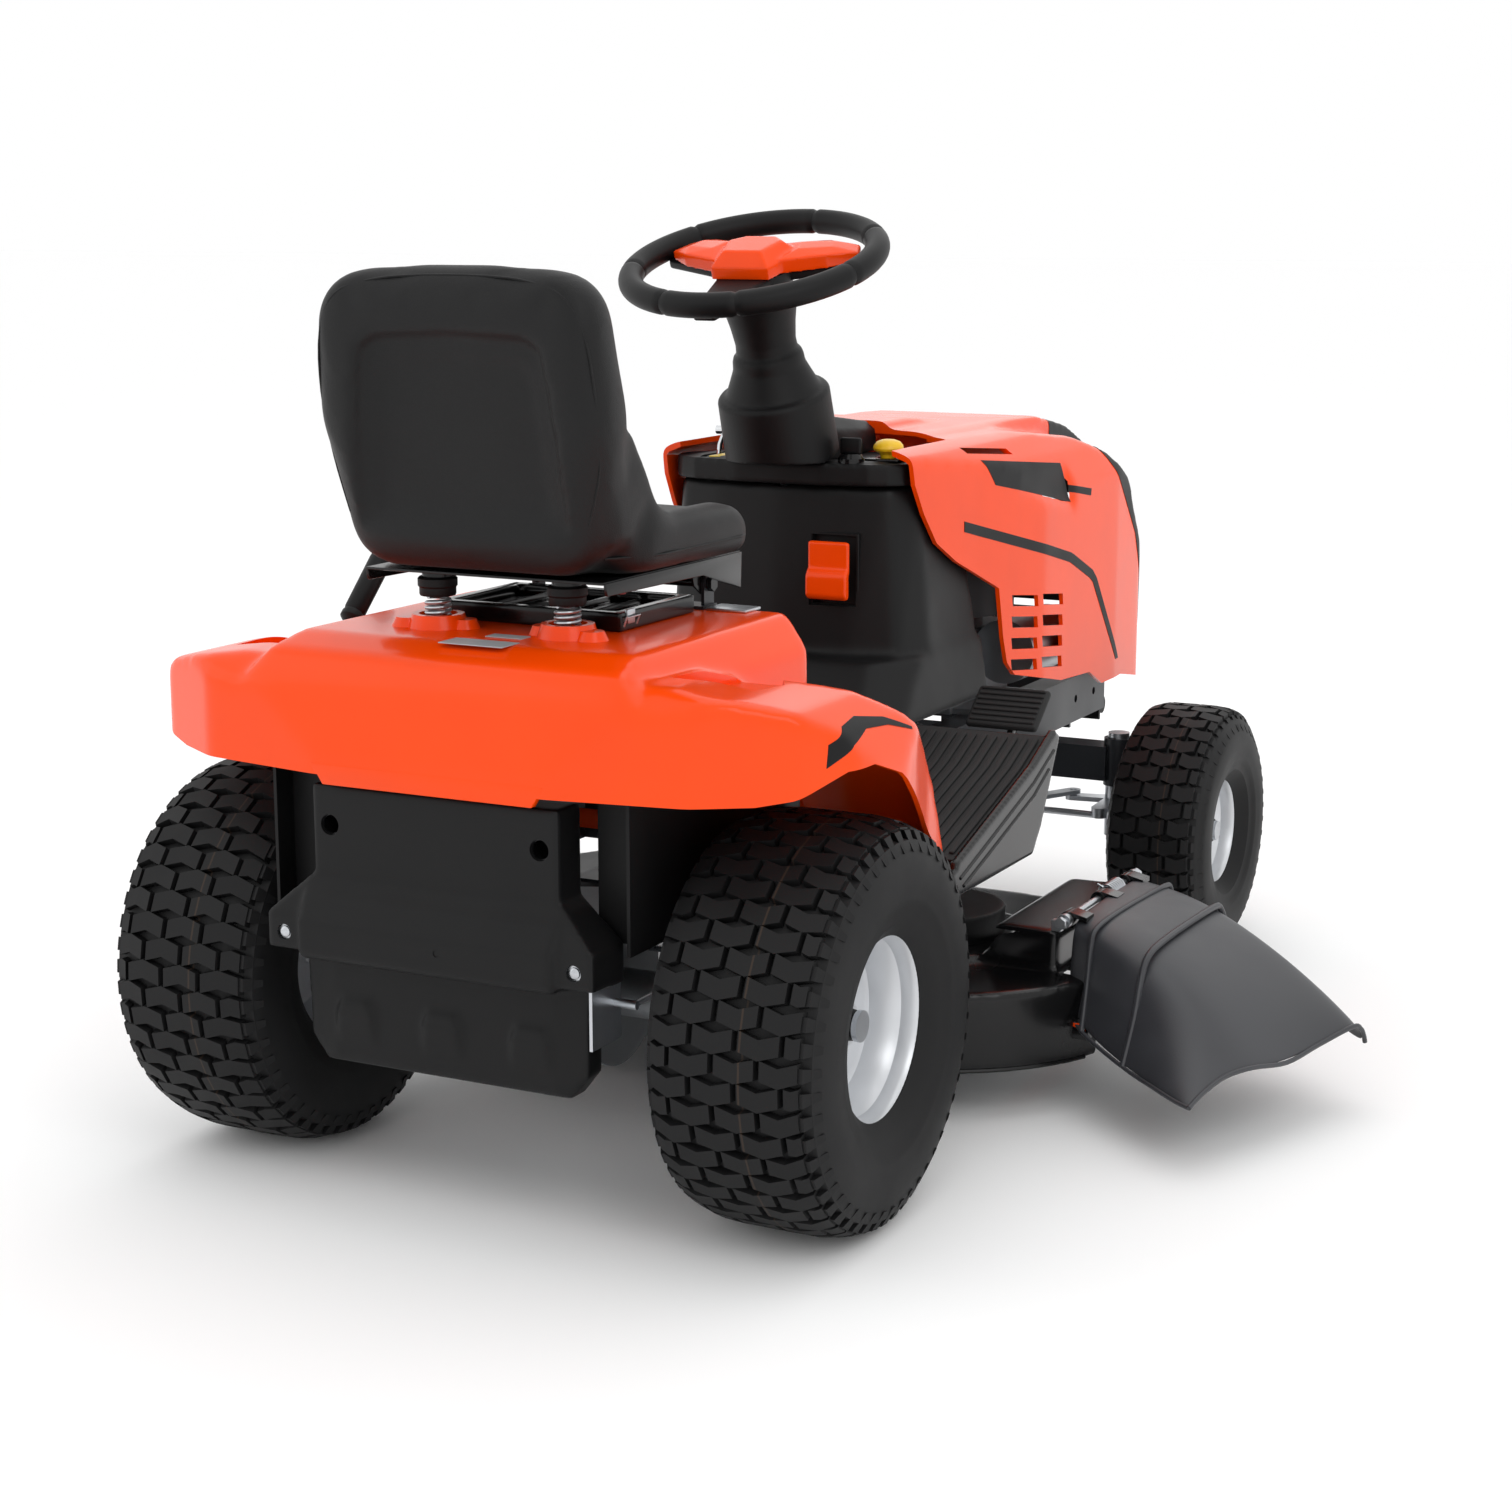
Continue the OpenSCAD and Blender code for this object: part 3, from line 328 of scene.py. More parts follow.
def piece(name, bm, material, body, replaces=(), sharp=32):
    """A finished object: its mesh, material, body, slot, and the CAD nodes it stands for."""
    for e in bm.edges:
        e.smooth = len(e.link_faces) == 2 and e.calc_face_angle(0) < math.radians(sharp)
    for f in bm.faces:
        f.smooth = True
    mesh = bpy.data.meshes.new(name)
    bm.to_mesh(mesh)
    bm.free()
    mesh.materials.append(material)
    obj = bpy.data.objects.new(name, mesh)
    bpy.context.scene.collection.objects.link(obj)
    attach(obj, body)
    if replaces:
        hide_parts(*replaces)
    return obj


# ---------- Materials ----------
FINISH = {}


def add(tree, kind, inputs=None, **settings):
    """Adds a node, with its settings, and its inputs as values or as sockets to link from."""
    node = tree.nodes.new(kind)
    for key, value in settings.items():
        setattr(node, key, value)
    for key, value in (inputs or {}).items():
        if isinstance(value, bpy.types.NodeSocket):
            tree.links.new(value, node.inputs[key])
        else:
            node.inputs[key].default_value = value
    return node


def finish(name, base, grain_mm, bump, roughness, spread, shade=0.12, **shader):
    """A surface with its own grain: base colour, grain size, bump height, and roughness with its spread."""
    material = bpy.data.materials.new(name)
    material.use_nodes = True
    tree = material.node_tree
    surface = tree.nodes["Principled BSDF"]
    for key, value in shader.items():
        surface.inputs[key.replace("_", " ")].default_value = value
    place = add(tree, "ShaderNodeTexCoord")
    grain = add(tree, "ShaderNodeTexNoise", {"Vector": place.outputs["Object"], "Scale": 1000 / grain_mm,
                                             "Detail": 3.0})
    broad = add(tree, "ShaderNodeTexNoise", {"Vector": place.outputs["Object"], "Scale": 9.0,
                                             "Detail": 4.0})
    darker = tuple(c * (1 - shade) for c in base[:3]) + (1.0,)
    lighter = tuple(min(1.0, c * (1 + shade)) for c in base[:3]) + (1.0,)
    tone = add(tree, "ShaderNodeValToRGB", {"Fac": broad.outputs["Fac"]})
    tone.color_ramp.elements[0].position, tone.color_ramp.elements[0].color = 0.3, darker
    tone.color_ramp.elements[1].position, tone.color_ramp.elements[1].color = 0.7, lighter
    tree.links.new(tone.outputs["Color"], surface.inputs["Base Color"])
    gloss = add(tree, "ShaderNodeMapRange", {"Value": broad.outputs["Fac"], "From Min": 0.3,
                                             "From Max": 0.7,
                                             "To Min": roughness - spread, "To Max": roughness + spread})
    tree.links.new(gloss.outputs["Result"], surface.inputs["Roughness"])
    relief = add(tree, "ShaderNodeBump", {"Height": grain.outputs["Fac"], "Distance": bump * MM,
                                          "Strength": 1.0})
    tree.links.new(relief.outputs["Normal"], surface.inputs["Normal"])
    FINISH[name] = material
    return material, tree, surface, place, tone, relief


def make_finishes():
    colours = bpy.context.scene.tractor_finishes
    # Glossy injection-moulded ABS: faint orange peel under a clear, wet-looking skin
    finish("abs_gloss_panel", tuple(colours.panel), 5.0, 0.03, 0.24, 0.03, 0.04, Coat_Weight=0.15,
           Coat_Roughness=0.06, IOR=1.52, Specular_IOR_Level=0.2)
    # Spark-eroded polypropylene moulding: fine even grain that breaks up the highlights
    finish("polypropylene_textured", tuple(colours.moulding), 1.1, 0.10, 0.5, 0.05, 0.15, IOR=1.49,
           Specular_IOR_Level=0.25)
    # Polished black ABS, as on the foot well skirts
    finish("abs_gloss_black", srgb("0b0b0c"), 6.0, 0.03, 0.2, 0.04, 0.15, Coat_Weight=0.1,
           Coat_Roughness=0.1,
           IOR=1.52, Specular_IOR_Level=0.3)
    # Stamped steel deck in black powder coat: orange peel and a soft gloss
    finish("powder_coat_black", srgb("0c0c0d"), 3.0, 0.07, 0.24, 0.05, 0.2, Coat_Weight=0.1,
           Coat_Roughness=0.15, Specular_IOR_Level=0.3)
    # Zinc-plated steel: bright with a patchy, slightly dull bloom
    finish("zinc_plated_steel", srgb("c3c6ca"), 1.5, 0.02, 0.33, 0.08, 0.08, Metallic=1.0)
    # Die-cast aluminium: dull, sandy skin
    finish("cast_aluminium", srgb("8e9194"), 1.8, 0.22, 0.55, 0.07, 0.12, Metallic=0.85)
    # Rim steel in silver enamel: pale, satin, with a fine flake
    finish("silver_enamel_rim", tuple(colours.rim), 0.9, 0.015, 0.34, 0.04, 0.05, Metallic=0.55)
    # Extruded EPDM foot mat: dead matt black
    finish("epdm_mat", srgb("0e0e0f"), 1.0, 0.09, 0.72, 0.06, 0.15)
    # Rotational-moulded polyethylene chute: grey-black with a waxy sheen
    finish("polyethylene_chute", srgb("343539"), 2.2, 0.09, 0.42, 0.06, 0.12, IOR=1.51)
    # Yellow nylon knob
    finish("nylon_yellow", srgb("f0c21c"), 2.0, 0.03, 0.35, 0.04, 0.05)
    # Bright chrome plate on steel
    finish("chrome_plate", srgb("dfe1e3"), 8.0, 0.005, 0.09, 0.03, 0.03, Metallic=1.0)
    # Satin black engine enamel
    finish("engine_enamel", srgb("222326"), 2.5, 0.06, 0.42, 0.06, 0.15, Metallic=0.2)
    # Frame rails in dark grey powder coat
    finish("powder_coat_grey", tuple(colours.frame_paint), 2.4, 0.07, 0.38, 0.05, 0.12, Metallic=0.25)
    # Grey polycarbonate label film, left blank
    finish("label_film_grey", srgb("a7a9ac"), 1.2, 0.01, 0.35, 0.04, 0.03)
    finish("label_film_yellow", srgb("e3c23a"), 1.2, 0.01, 0.4, 0.04, 0.03)
    finish("label_film_white", srgb("e8e8e6"), 1.2, 0.01, 0.4, 0.04, 0.03)
    # Red polyamide switch body
    finish("nylon_red", srgb("b3221c"), 2.0, 0.03, 0.4, 0.04, 0.06)
    # Oxidised pressed steel of the muffler
    finish("aluminised_steel", srgb("a9abae"), 2.0, 0.05, 0.36, 0.08, 0.12, Metallic=1.0)

    # Seat vinyl: calf-grain embossing, dull black with a soft sheen where it curves away
    _, tree, surface, place, _, relief = finish(
        "vinyl_calf_grain", tuple(colours.seat), 2.6, 0.05, 0.5, 0.05, 0.12, IOR=1.5, Sheen_Weight=0.04,
        Sheen_Roughness=0.4, Specular_IOR_Level=0.28)
    # Grain cells are 2 mm here, drawn coarser than the real 1 mm so that they show
    cells = add(tree, "ShaderNodeTexVoronoi", {"Vector": place.outputs["Object"], "Scale": 1000 / 2.0},
                feature="DISTANCE_TO_EDGE")
    pebble = add(tree, "ShaderNodeMapRange", {"Value": cells.outputs["Distance"], "From Max": 0.25})
    emboss = add(tree, "ShaderNodeBump", {"Height": pebble.outputs["Result"], "Distance": 0.12 * MM,
                                          "Normal": relief.outputs["Normal"]})
    tree.links.new(emboss.outputs["Normal"], surface.inputs["Normal"])

    # Vulcanised tyre rubber: dull black, with a thin, worn, sprayed line off its middle
    _, tree, surface, _, tone, _ = finish(
        "vulcanised_rubber", srgb("111112"), 1.6, 0.10, 0.6, 0.08, 0.25, IOR=1.52,
        Specular_IOR_Level=0.25)
    across = add(tree, "ShaderNodeAttribute", attribute_name="across")
    near = add(tree, "ShaderNodeMath", {0: across.outputs["Fac"], 1: 0.22}, operation="SUBTRACT")
    width = add(tree, "ShaderNodeMath", {0: near.outputs["Value"]}, operation="ABSOLUTE")
    line = add(tree, "ShaderNodeMapRange", {"Value": width.outputs["Value"], "From Min": 0.008,
                                            "From Max": 0.014, "To Min": 0.1, "To Max": 0.0})
    striped = add(tree, "ShaderNodeMix", {0: line.outputs["Result"], "A": tone.outputs["Color"],
                                          "B": srgb("8a6a50")}, data_type="RGBA")
    tree.links.new(striped.outputs[2], surface.inputs["Base Color"])


CAD_FINISH = {
    "powder_coat_grey": ["frame_rails", "seat_support", "hinge_bracket", "axle_bracket", "front_axle",
                         "steering_box", "seat_plate"],
    "cast_aluminium": ["transaxle", "engine_block"],
    "abs_gloss_panel": ["fender", "hood", "wheel_cover", "latch_handle"],
    "polypropylene_textured": ["rear_cover", "console", "dash", "column_shroud", "steering_wheel",
                               "fuel_tank", "hood_grille", "key", "belt_cover_l", "belt_cover_r",
                               "lift_lever", "front_guard"],
    "abs_gloss_black": ["footrest_l", "footrest_r"],
    "epdm_mat": ["mat_l", "mat_r", "brake_pedal"],
    "zinc_plated_steel": ["cover_bracket", "spring_l", "spring_r", "deck_hangers", "steering_shaft",
                          "pitman_arm", "drag_link", "tie_rod", "knuckle_l", "knuckle_r", "axle_shaft_l",
                          "axle_shaft_r", "spindle_l", "spindle_r"],
    "engine_enamel": ["engine_shroud"],
    "aluminised_steel": ["muffler"],
    "chrome_plate": ["throttle_lever"],
    "vulcanised_rubber": ["front_tyre_l", "front_tyre_r", "rear_tyre_l", "rear_tyre_r"],
    "silver_enamel_rim": ["front_rim_l", "front_rim_r", "rear_rim_l", "rear_rim_r"],
    "vinyl_calf_grain": ["seat_cushion"],
    "powder_coat_black": ["deck_shell"],
    "polyethylene_chute": ["deflector"],
    "nylon_yellow": ["pto_knob"],
}


def show(name, bm, finish_name, body, replaces=(), sharp=32):
    """A piece in one of the finishes, with the material slot that goes with it."""
    return piece(name, bm, FINISH[finish_name], body, replaces, sharp)


def flood(name, place, target, size, power, tint="ffffff"):
    """A square soft light."""
    data = bpy.data.lights.new(name, "AREA")
    data.size, data.energy, data.color = size, power, srgb(tint)[:3]
    lamp = bpy.data.objects.new(name, data)
    lamp.location = place
    lamp.rotation_euler = (Vector(target) - Vector(place)).to_track_quat("-Z", "Y").to_euler()
    bpy.context.scene.collection.objects.link(lamp)


class TRACTOR_OT_stage(bpy.types.Operator):
    """Camera, soft studio lights and a pale floor"""
    bl_idname = "tractor.stage"
    bl_label = "Stage"

    def execute(self, context):
        camera = bpy.data.objects.new("camera", bpy.data.cameras.new("camera"))
        camera.location = at(1549.4, -2511.2, 1085.9)
        turn, dip = math.radians(26.92), math.radians(11.48)
        look = Vector((-math.sin(turn) * math.cos(dip), math.cos(turn) * math.cos(dip), -math.sin(dip)))
        camera.rotation_euler = look.to_track_quat("-Z", "Y").to_euler()
        camera.data.lens, camera.data.sensor_width = 63.54, 36
        context.scene.collection.objects.link(camera)
        context.scene.camera = camera

        bm = bmesh.new()
        bmesh.ops.create_grid(bm, x_segments=2, y_segments=2, size=60)
        mesh = bpy.data.meshes.new("floor")
        bm.to_mesh(mesh)
        bm.free()
        floor = bpy.data.objects.new("floor", mesh)
        # Matt white paper sweep
        mesh.materials.append(finish("paper_sweep", srgb("ffffff"), 30.0, 0.0, 0.95, 0.01, 0.0)[0])
        context.scene.collection.objects.link(floor)

        world = bpy.data.worlds.new("studio")
        world.use_nodes = True
        world.node_tree.nodes["Background"].inputs["Color"].default_value = srgb("ffffff")
        world.node_tree.nodes["Background"].inputs["Strength"].default_value = 1.0
        context.scene.world = world
        context.scene.view_settings.view_transform = "Standard"
        flood("key", (3.2, -3.0, 3.6), (0, 0, 0.5), 2.4, 34)
        flood("fill", (-3.6, -2.6, 2.4), (0, 0, 0.5), 3.0, 12)
        flood("top", (0.3, 0.4, 4.2), (0, 0, 0.4), 3.0, 16)
        flood("rim", (-1.5, 4.0, 2.6), (0, 0.2, 0.6), 2.4, 10)
        return {"FINISHED"}


class TRACTOR_OT_finishes(bpy.types.Operator):
    """Materials, and a finish for every CAD part that stays in view"""
    bl_idname = "tractor.finishes"
    bl_label = "Finishes"

    def execute(self, context):
        make_finishes()
        for name, nodes in CAD_FINISH.items():
            for node in nodes:
                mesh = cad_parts[node].data
                mesh.materials.clear()
                mesh.materials.append(FINISH[name])
        return {"FINISHED"}


# ---------- Wheels ----------
def tread_sector(radius, width, rows, depth, pitch_x):
    """Two staggered rows of chevron blocks with their shoulder lugs, wrapped on the crown at the top."""
    bm = bmesh.new()
    step = math.tau * radius / rows
    half = width / 2

    def chevron(left, right, v):
        """One block from left to right across, v along the tread; the middle leads by a slant."""
        slant, length = min(7.5, 0.17 * (right - left)), step * 0.87
        mid = (left + right) / 2
        outline = [(left, v), (mid, v - slant), (right, v), (right, v + length), (mid, v + length - slant),
                   (left, v + length)]
        face = bm.faces.new([bm.verts.new((a * MM, b * MM, 0)) for a, b in outline])
        made = bmesh.ops.extrude_face_region(bm, geom=[face])["geom"]
        top = [g for g in made if isinstance(g, bmesh.types.BMVert)]
        bmesh.ops.translate(bm, vec=(0, 0, (depth + 3) * MM), verts=top)
        cx = sum(p.co.x for p in top) / len(top)
        cy = sum(p.co.y for p in top) / len(top)
        for p in top:
            p.co.x, p.co.y = cx + (p.co.x - cx) * 0.93, cy + (p.co.y - cy) * 0.9

    edge = half - 17
    for row in range(2):
        v = row * step + step * 0.1
        start = -edge + (0 if row == 0 else -pitch_x / 2)
        while start < edge - 6:
            left, right = max(start, -edge), min(start + pitch_x - 3.5, edge)
            if right - left > 9:
                chevron(left, right, v)
            start += pitch_x
    bmesh.ops.recalc_face_normals(bm, faces=bm.faces)

    def crown(u):
        """Height of the carcass under the tread, u from the middle."""
        reach = abs(u) / half
        return radius - depth - 3 - max(0.0, reach - 0.4) ** 2 * radius * 0.24

    for p in bm.verts:
        u, v, h = p.co.x / MM, p.co.y / MM, p.co.z / MM
        angle, r = v / radius, crown(u) + h
        p.co = Vector((u, r * math.sin(angle), r * math.cos(angle))) * MM
    # Shoulder lugs that run down on to the sidewall
    lugs = []
    for row in range(2):
        for side in (-1, 1):
            angle = (row + 0.45) * step / radius
            turn = Matrix.Rotation(-angle, 4, "X")
            lug = bmesh.new()
            low, high = (half - 22, -step * 0.28, radius - 34), (half - 3.5, step * 0.28, radius - 12)
            middle = (Vector(low) + Vector(high)) / 2
            size = Vector(high) - Vector(low)
            bmesh.ops.create_cube(lug, size=1, matrix=Matrix.Diagonal((*(size * MM), 1)))
            for p in lug.verts:
                if p.co.z < 0:
                    p.co.y *= 0.5
                    p.co.x += 1.5 * MM
                elif p.co.x > 0:
                    p.co.x -= 10 * MM
            bmesh.ops.translate(lug, vec=middle * MM, verts=lug.verts)
            bmesh.ops.transform(lug, matrix=turn, verts=lug.verts)
            if side < 0:
                bmesh.ops.transform(lug, matrix=Matrix.Scale(-1, 4, X), verts=lug.verts)
                bmesh.ops.reverse_faces(lug, faces=lug.faces)
            lugs.append(lug)
    return together(bm, *lugs)


def tyre(radius, width, bead, rim_width, rows, depth, pitch_x):
    """A turf tyre about the X axis: carcass with sidewall rings, and its tread."""
    half = width / 2
    rise = radius - bead
    outer = [(bead, rim_width / 2 - 9), (bead + 8, rim_width / 2 - 3), (bead + 0.16 * rise, half - 8),
             (bead + 0.26 * rise, half - 5.5), (bead + 0.30 * rise, half - 2.5),
             (bead + 0.34 * rise, half - 2),
             (bead + 0.42 * rise, half - 0.5), (bead + 0.5 * rise, half), (bead + 0.62 * rise, half - 1),
             (bead + 0.7 * rise, half - 3), (radius - 30, half - 5), (radius - 22, half - 8)]
    for u in (0.86, 0.76, 0.6, 0.4, 0.2):
        outer.append((radius - depth - 1 - max(0.0, u - 0.4) ** 2 * radius * 0.24, half * u))
    inner = [(bead + 1, rim_width / 2 - 22), (bead + 0.4 * rise, half - 14), (radius - 40, half - 18),
             (radius - 24, half - 40)]
    profile = outer + [(r, -x) for r, x in reversed(outer)]
    profile += [(r, -x) for r, x in inner] + [(r, x) for r, x in reversed(inner)]
    body = turned(profile + profile[:1], Matrix.Rotation(math.pi / 2, 4, "Y"), steps=96)
    sector = tread_sector(radius, width, rows, depth, pitch_x)
    geom = sector.verts[:] + sector.edges[:] + sector.faces[:]
    bmesh.ops.spin(sector, geom=geom, cent=(0, 0, 0), axis=(1, 0, 0), dvec=(0, 0, 0), angle=math.tau,
                   steps=rows // 2, use_duplicate=True)
    return together(body, sector)


def mark_across(obj, centre, width):
    """Stores how far across the tread each point is, from -1 to 1, for the rubber's sprayed line."""
    layer = obj.data.attributes.new("across", "FLOAT", "POINT")
    values = [(v.co.x - ORIGIN.x - centre * MM) / (width / 2 * MM) for v in obj.data.vertices]
    layer.data.foreach_set("value", values)


def rim(bead, rim_width, disc, hub):
    """A dished steel rim about the X axis, its disc set in from the outer (+X) flange."""
    b, h = bead, rim_width / 2
    profile = [(11, disc + 30), (24, disc + 30), (26, disc + 26), (26, disc + 8), (30, disc + 4),
               (b * 0.45, disc + 3), (b * 0.62, disc + 9), (b - 22, disc + 10), (b - 15, disc + 14),
               (b - 12, h - 40), (b - 4, h - 30), (b - 3.5, h - 16), (b + 1, h - 9), (b + 6, h - 5),
               (b + 10, h - 2), (b + 13, h), (b + 13, h - 3), (b + 5, h - 8), (b, h - 12), (b, h - 26),
               (b - 10, h - 40)]
    back = [(b - 10, -h + 40), (b, -h + 26), (b, -h + 12), (b + 5, -h + 8), (b + 13, -h + 3), (b + 13, -h),
            (b + 10, -h + 2), (b + 1, -h + 9), (b - 3.5, -h + 16), (b - 4, -h + 30), (b - 13.5, -h + 40),
            (b - 14, disc - 2), (b - 24, disc + 6), (b * 0.6, disc + 5), (b * 0.44, disc - 1),
            (26, disc - 1),
            (22, disc - hub), (11, disc - hub)]
    profile += back + [profile[0]]
    return turned(profile, Matrix.Rotation(math.pi / 2, 4, "Y"), steps=72)


class TRACTOR_OT_wheels(bpy.types.Operator):
    """Turf tyres with staggered chevron blocks, dished rims, hub caps and valve stems"""
    bl_idname = "tractor.wheels"
    bl_label = "Wheels"

    def execute(self, context):
        sizes = context.scene.tractor_sizes
        depth = sizes.tread_depth / MM
        kinds = [("rear", REAR_X, 0, REAR_R, REAR_W, 101.5, 0.86, sizes.rear_rows, 52.0, 10, 38),
                 ("front", FRONT_X, WHEELBASE, FRONT_R, FRONT_W, 76, 0.8, sizes.front_rows, 43.0, 5, 34)]
        for kind, x, y, radius, width, bead, share, rows, pitch, disc, hub in kinds:
            rim_width = share * width
            master = tyre(radius, width, bead, rim_width, rows, depth - (1 if kind == "front" else 0),
                          pitch)
            master_rim = rim(bead, rim_width, disc, hub)
            for side, s in (("l", -1), ("r", 1)):
                body = f"{kind}_wheel_{side}"
                place = Matrix.Translation(at(s * x, y, radius))
                if s < 0:
                    place = place @ Matrix.Rotation(math.pi, 4, "Z")
                rubber = master.copy()
                bmesh.ops.transform(rubber, matrix=place, verts=rubber.verts)
                made = show(f"{kind}_tyre_turf_{side}", rubber, "vulcanised_rubber", body,
                            [f"{kind}_tyre_{side}"])
                mark_across(made, s * x, width)
                steel = master_rim.copy()
                bmesh.ops.transform(steel, matrix=place, verts=steel.verts)
                show(f"{kind}_rim_dished_{side}", steel, "silver_enamel_rim", body, [f"{kind}_rim_{side}"])
                cap = turned([(0, disc + 40), (12, disc + 40), (17, disc + 36), (18, disc + 28),
                              (0, disc + 28)],
                             place @ Matrix.Rotation(math.pi / 2, 4, "Y"), 32)
                show(f"{kind}_hub_cap_{side}", cap, "polypropylene_textured", body)
                stem = tube([(disc + 8, -s * bead * 0.3, -bead * 0.62),
                             (disc + 24, -s * bead * 0.3, -bead * 0.64),
                             (disc + 38, -s * bead * 0.31, -bead * 0.66)], 4.5, matrix=place)
                show(f"{kind}_valve_stem_{side}", stem, "vulcanised_rubber", body)
            master.free()
            master_rim.free()
        return {"FINISHED"}


# ---------- Fender and rear cover ----------
def fender_skin(t):
    """The fender's outer solid, set in by t: an arch over both wheels and a raised platform."""
    half = 449.5
    plan = [(0, -229 + t), (142, -229 + t), (300, -205 + t), (400, -146 + t), (half - 12 - t, -90),
            (half - t, -40), (half - t, 0), (half - 12 - t, 60), (half - 30 - t, 130), (400 - t, 236 - t),
            (0, 236 - t)]
    side = [(-229 + t, 200), (-229 + t, 520), (-216 + t, 585), (-180, 616 - t), (-60, 613 - t),
            (0, 597 - t),
            (40 - t, 575), (76 - t, 551 - t), (120 - t, 516), (157 - t, 481), (200 - t, 420),
            (236 - t, 357), (236 - t, 200)]
    front = [(0, 620 - t), (240, 620 - t), (340, 606 - t), (392 - t, 594 - t), (428 - t, 566 - t),
             (444 - t, 530), (half - t, 490), (half - t, 190)]
    arch = meet(prism("Z", mirrored(plan), 190, 700), prism("X", side, -500, 500),
                prism("Y", mirrored(front), -300, 300))
    side = [(-229 + t, 200), (-229 + t, 520), (-216 + t, 594), (-196 + t, 626 - t), (-150, PLATFORM_Z - t),
            (205 - t, PLATFORM_Z - t), (205 - t, 200)]
    front = [(0, PLATFORM_Z - t), (212 - t, PLATFORM_Z - t), (240 - t, 600), (246 - t, 200)]
    centre = meet(prism("Z", mirrored(plan), 190, 700), prism("X", side, -500, 500),
                  prism("Y", mirrored(front), -300, 300))
    return worked(arch, [("UNION", centre)])


FENDER_EDGE = [(-300, 190), (-300, 496), (-170, 499), (-150, 505), (-100, 530), (-60, 532), (0, 512),
               (47, 482),
               (100, 446), (139, 416), (180, 388), (222, 352), (300, 340), (300, 190)]


class TRACTOR_OT_fender(bpy.types.Operator):
    """One-piece moulded fender with a seat platform, spring bosses, side scoops and stripes"""
    bl_idname = "tractor.fender"
    bl_label = "Fender"

    def execute(self, context):
        # Cupped bosses round the springs' feet, with a lobe on each side
        bosses = worked(rod((*SPRING, 636), (*SPRING, 655), 35, 40, 29), [
            ("UNION", rod((118, -78, 636), (118, -78, 650), 20, 32, 13)),
            ("UNION", rod((50, -66, 636), (50, -66, 650), 18, 32, 12)),
            ("DIFFERENCE", rod((*SPRING, 644.1), (*SPRING, 700), 21.5, 40))])
        scoop = prism("Z", [(236, -118), (246, 8), (262, 30), (300, 12), (338, -60), (330, -112)], 591, 700)
        skin = worked(fender_skin(0), [("SOFTEN", 5, 24), ("DIFFERENCE", both_sides(scoop))])
        hollow = prism("Z", [(228, -127), (238, 14), (262, 42), (308, 20), (348, -60), (338, -122)], 584,
                       700)
        lever_slot = block((-346, 15, 480), (-314, 172, 720))
        tab = prism("Y", [(-146, 510), (-131, 487), (131, 487), (146, 510)], -229, -219)
        tab = rounded(tab, 1.5, 2)
        shell = worked(skin.copy(), [
            ("DIFFERENCE", worked(fender_skin(6), [("DIFFERENCE", both_sides(hollow)),
                                                   ("UNION", block((-230, -214, 190), (230, 225, 560)))])),
            ("DIFFERENCE", prism("X", FENDER_EDGE, -500, 500)), ("DIFFERENCE", lever_slot),
            ("UNION", tab), ("UNION", both_sides(bosses))])
        show("fender_moulding", shell, "abs_gloss_panel", "chassis", ["fender"])
        # Tapered black stripe over each wheel arch
        upper = [(-120, 560), (-90, 574), (-50, 578), (0, 570), (50, 552)]
        lower = [(50, 549), (0, 562), (-50, 566), (-90, 556), (-122, 536)]
        window = prism("X", upper + lower, 330, 470)
        band = overlay(skin, both_sides(window), 0.7)
        show("fender_arch_stripes", band, "polypropylene_textured", "chassis")
        skin.free()
        # Two blank label plates between the spring bosses
        plates = together(rounded(block((-18, -170, 640), (62, -134, 641.2)), 0.4, 1),
                          rounded(block((4, -112, 640), (50, -92, 641.2)), 0.4, 1))
        show("fender_blank_plates", plates, "label_film_grey", "chassis")
        return {"FINISHED"}


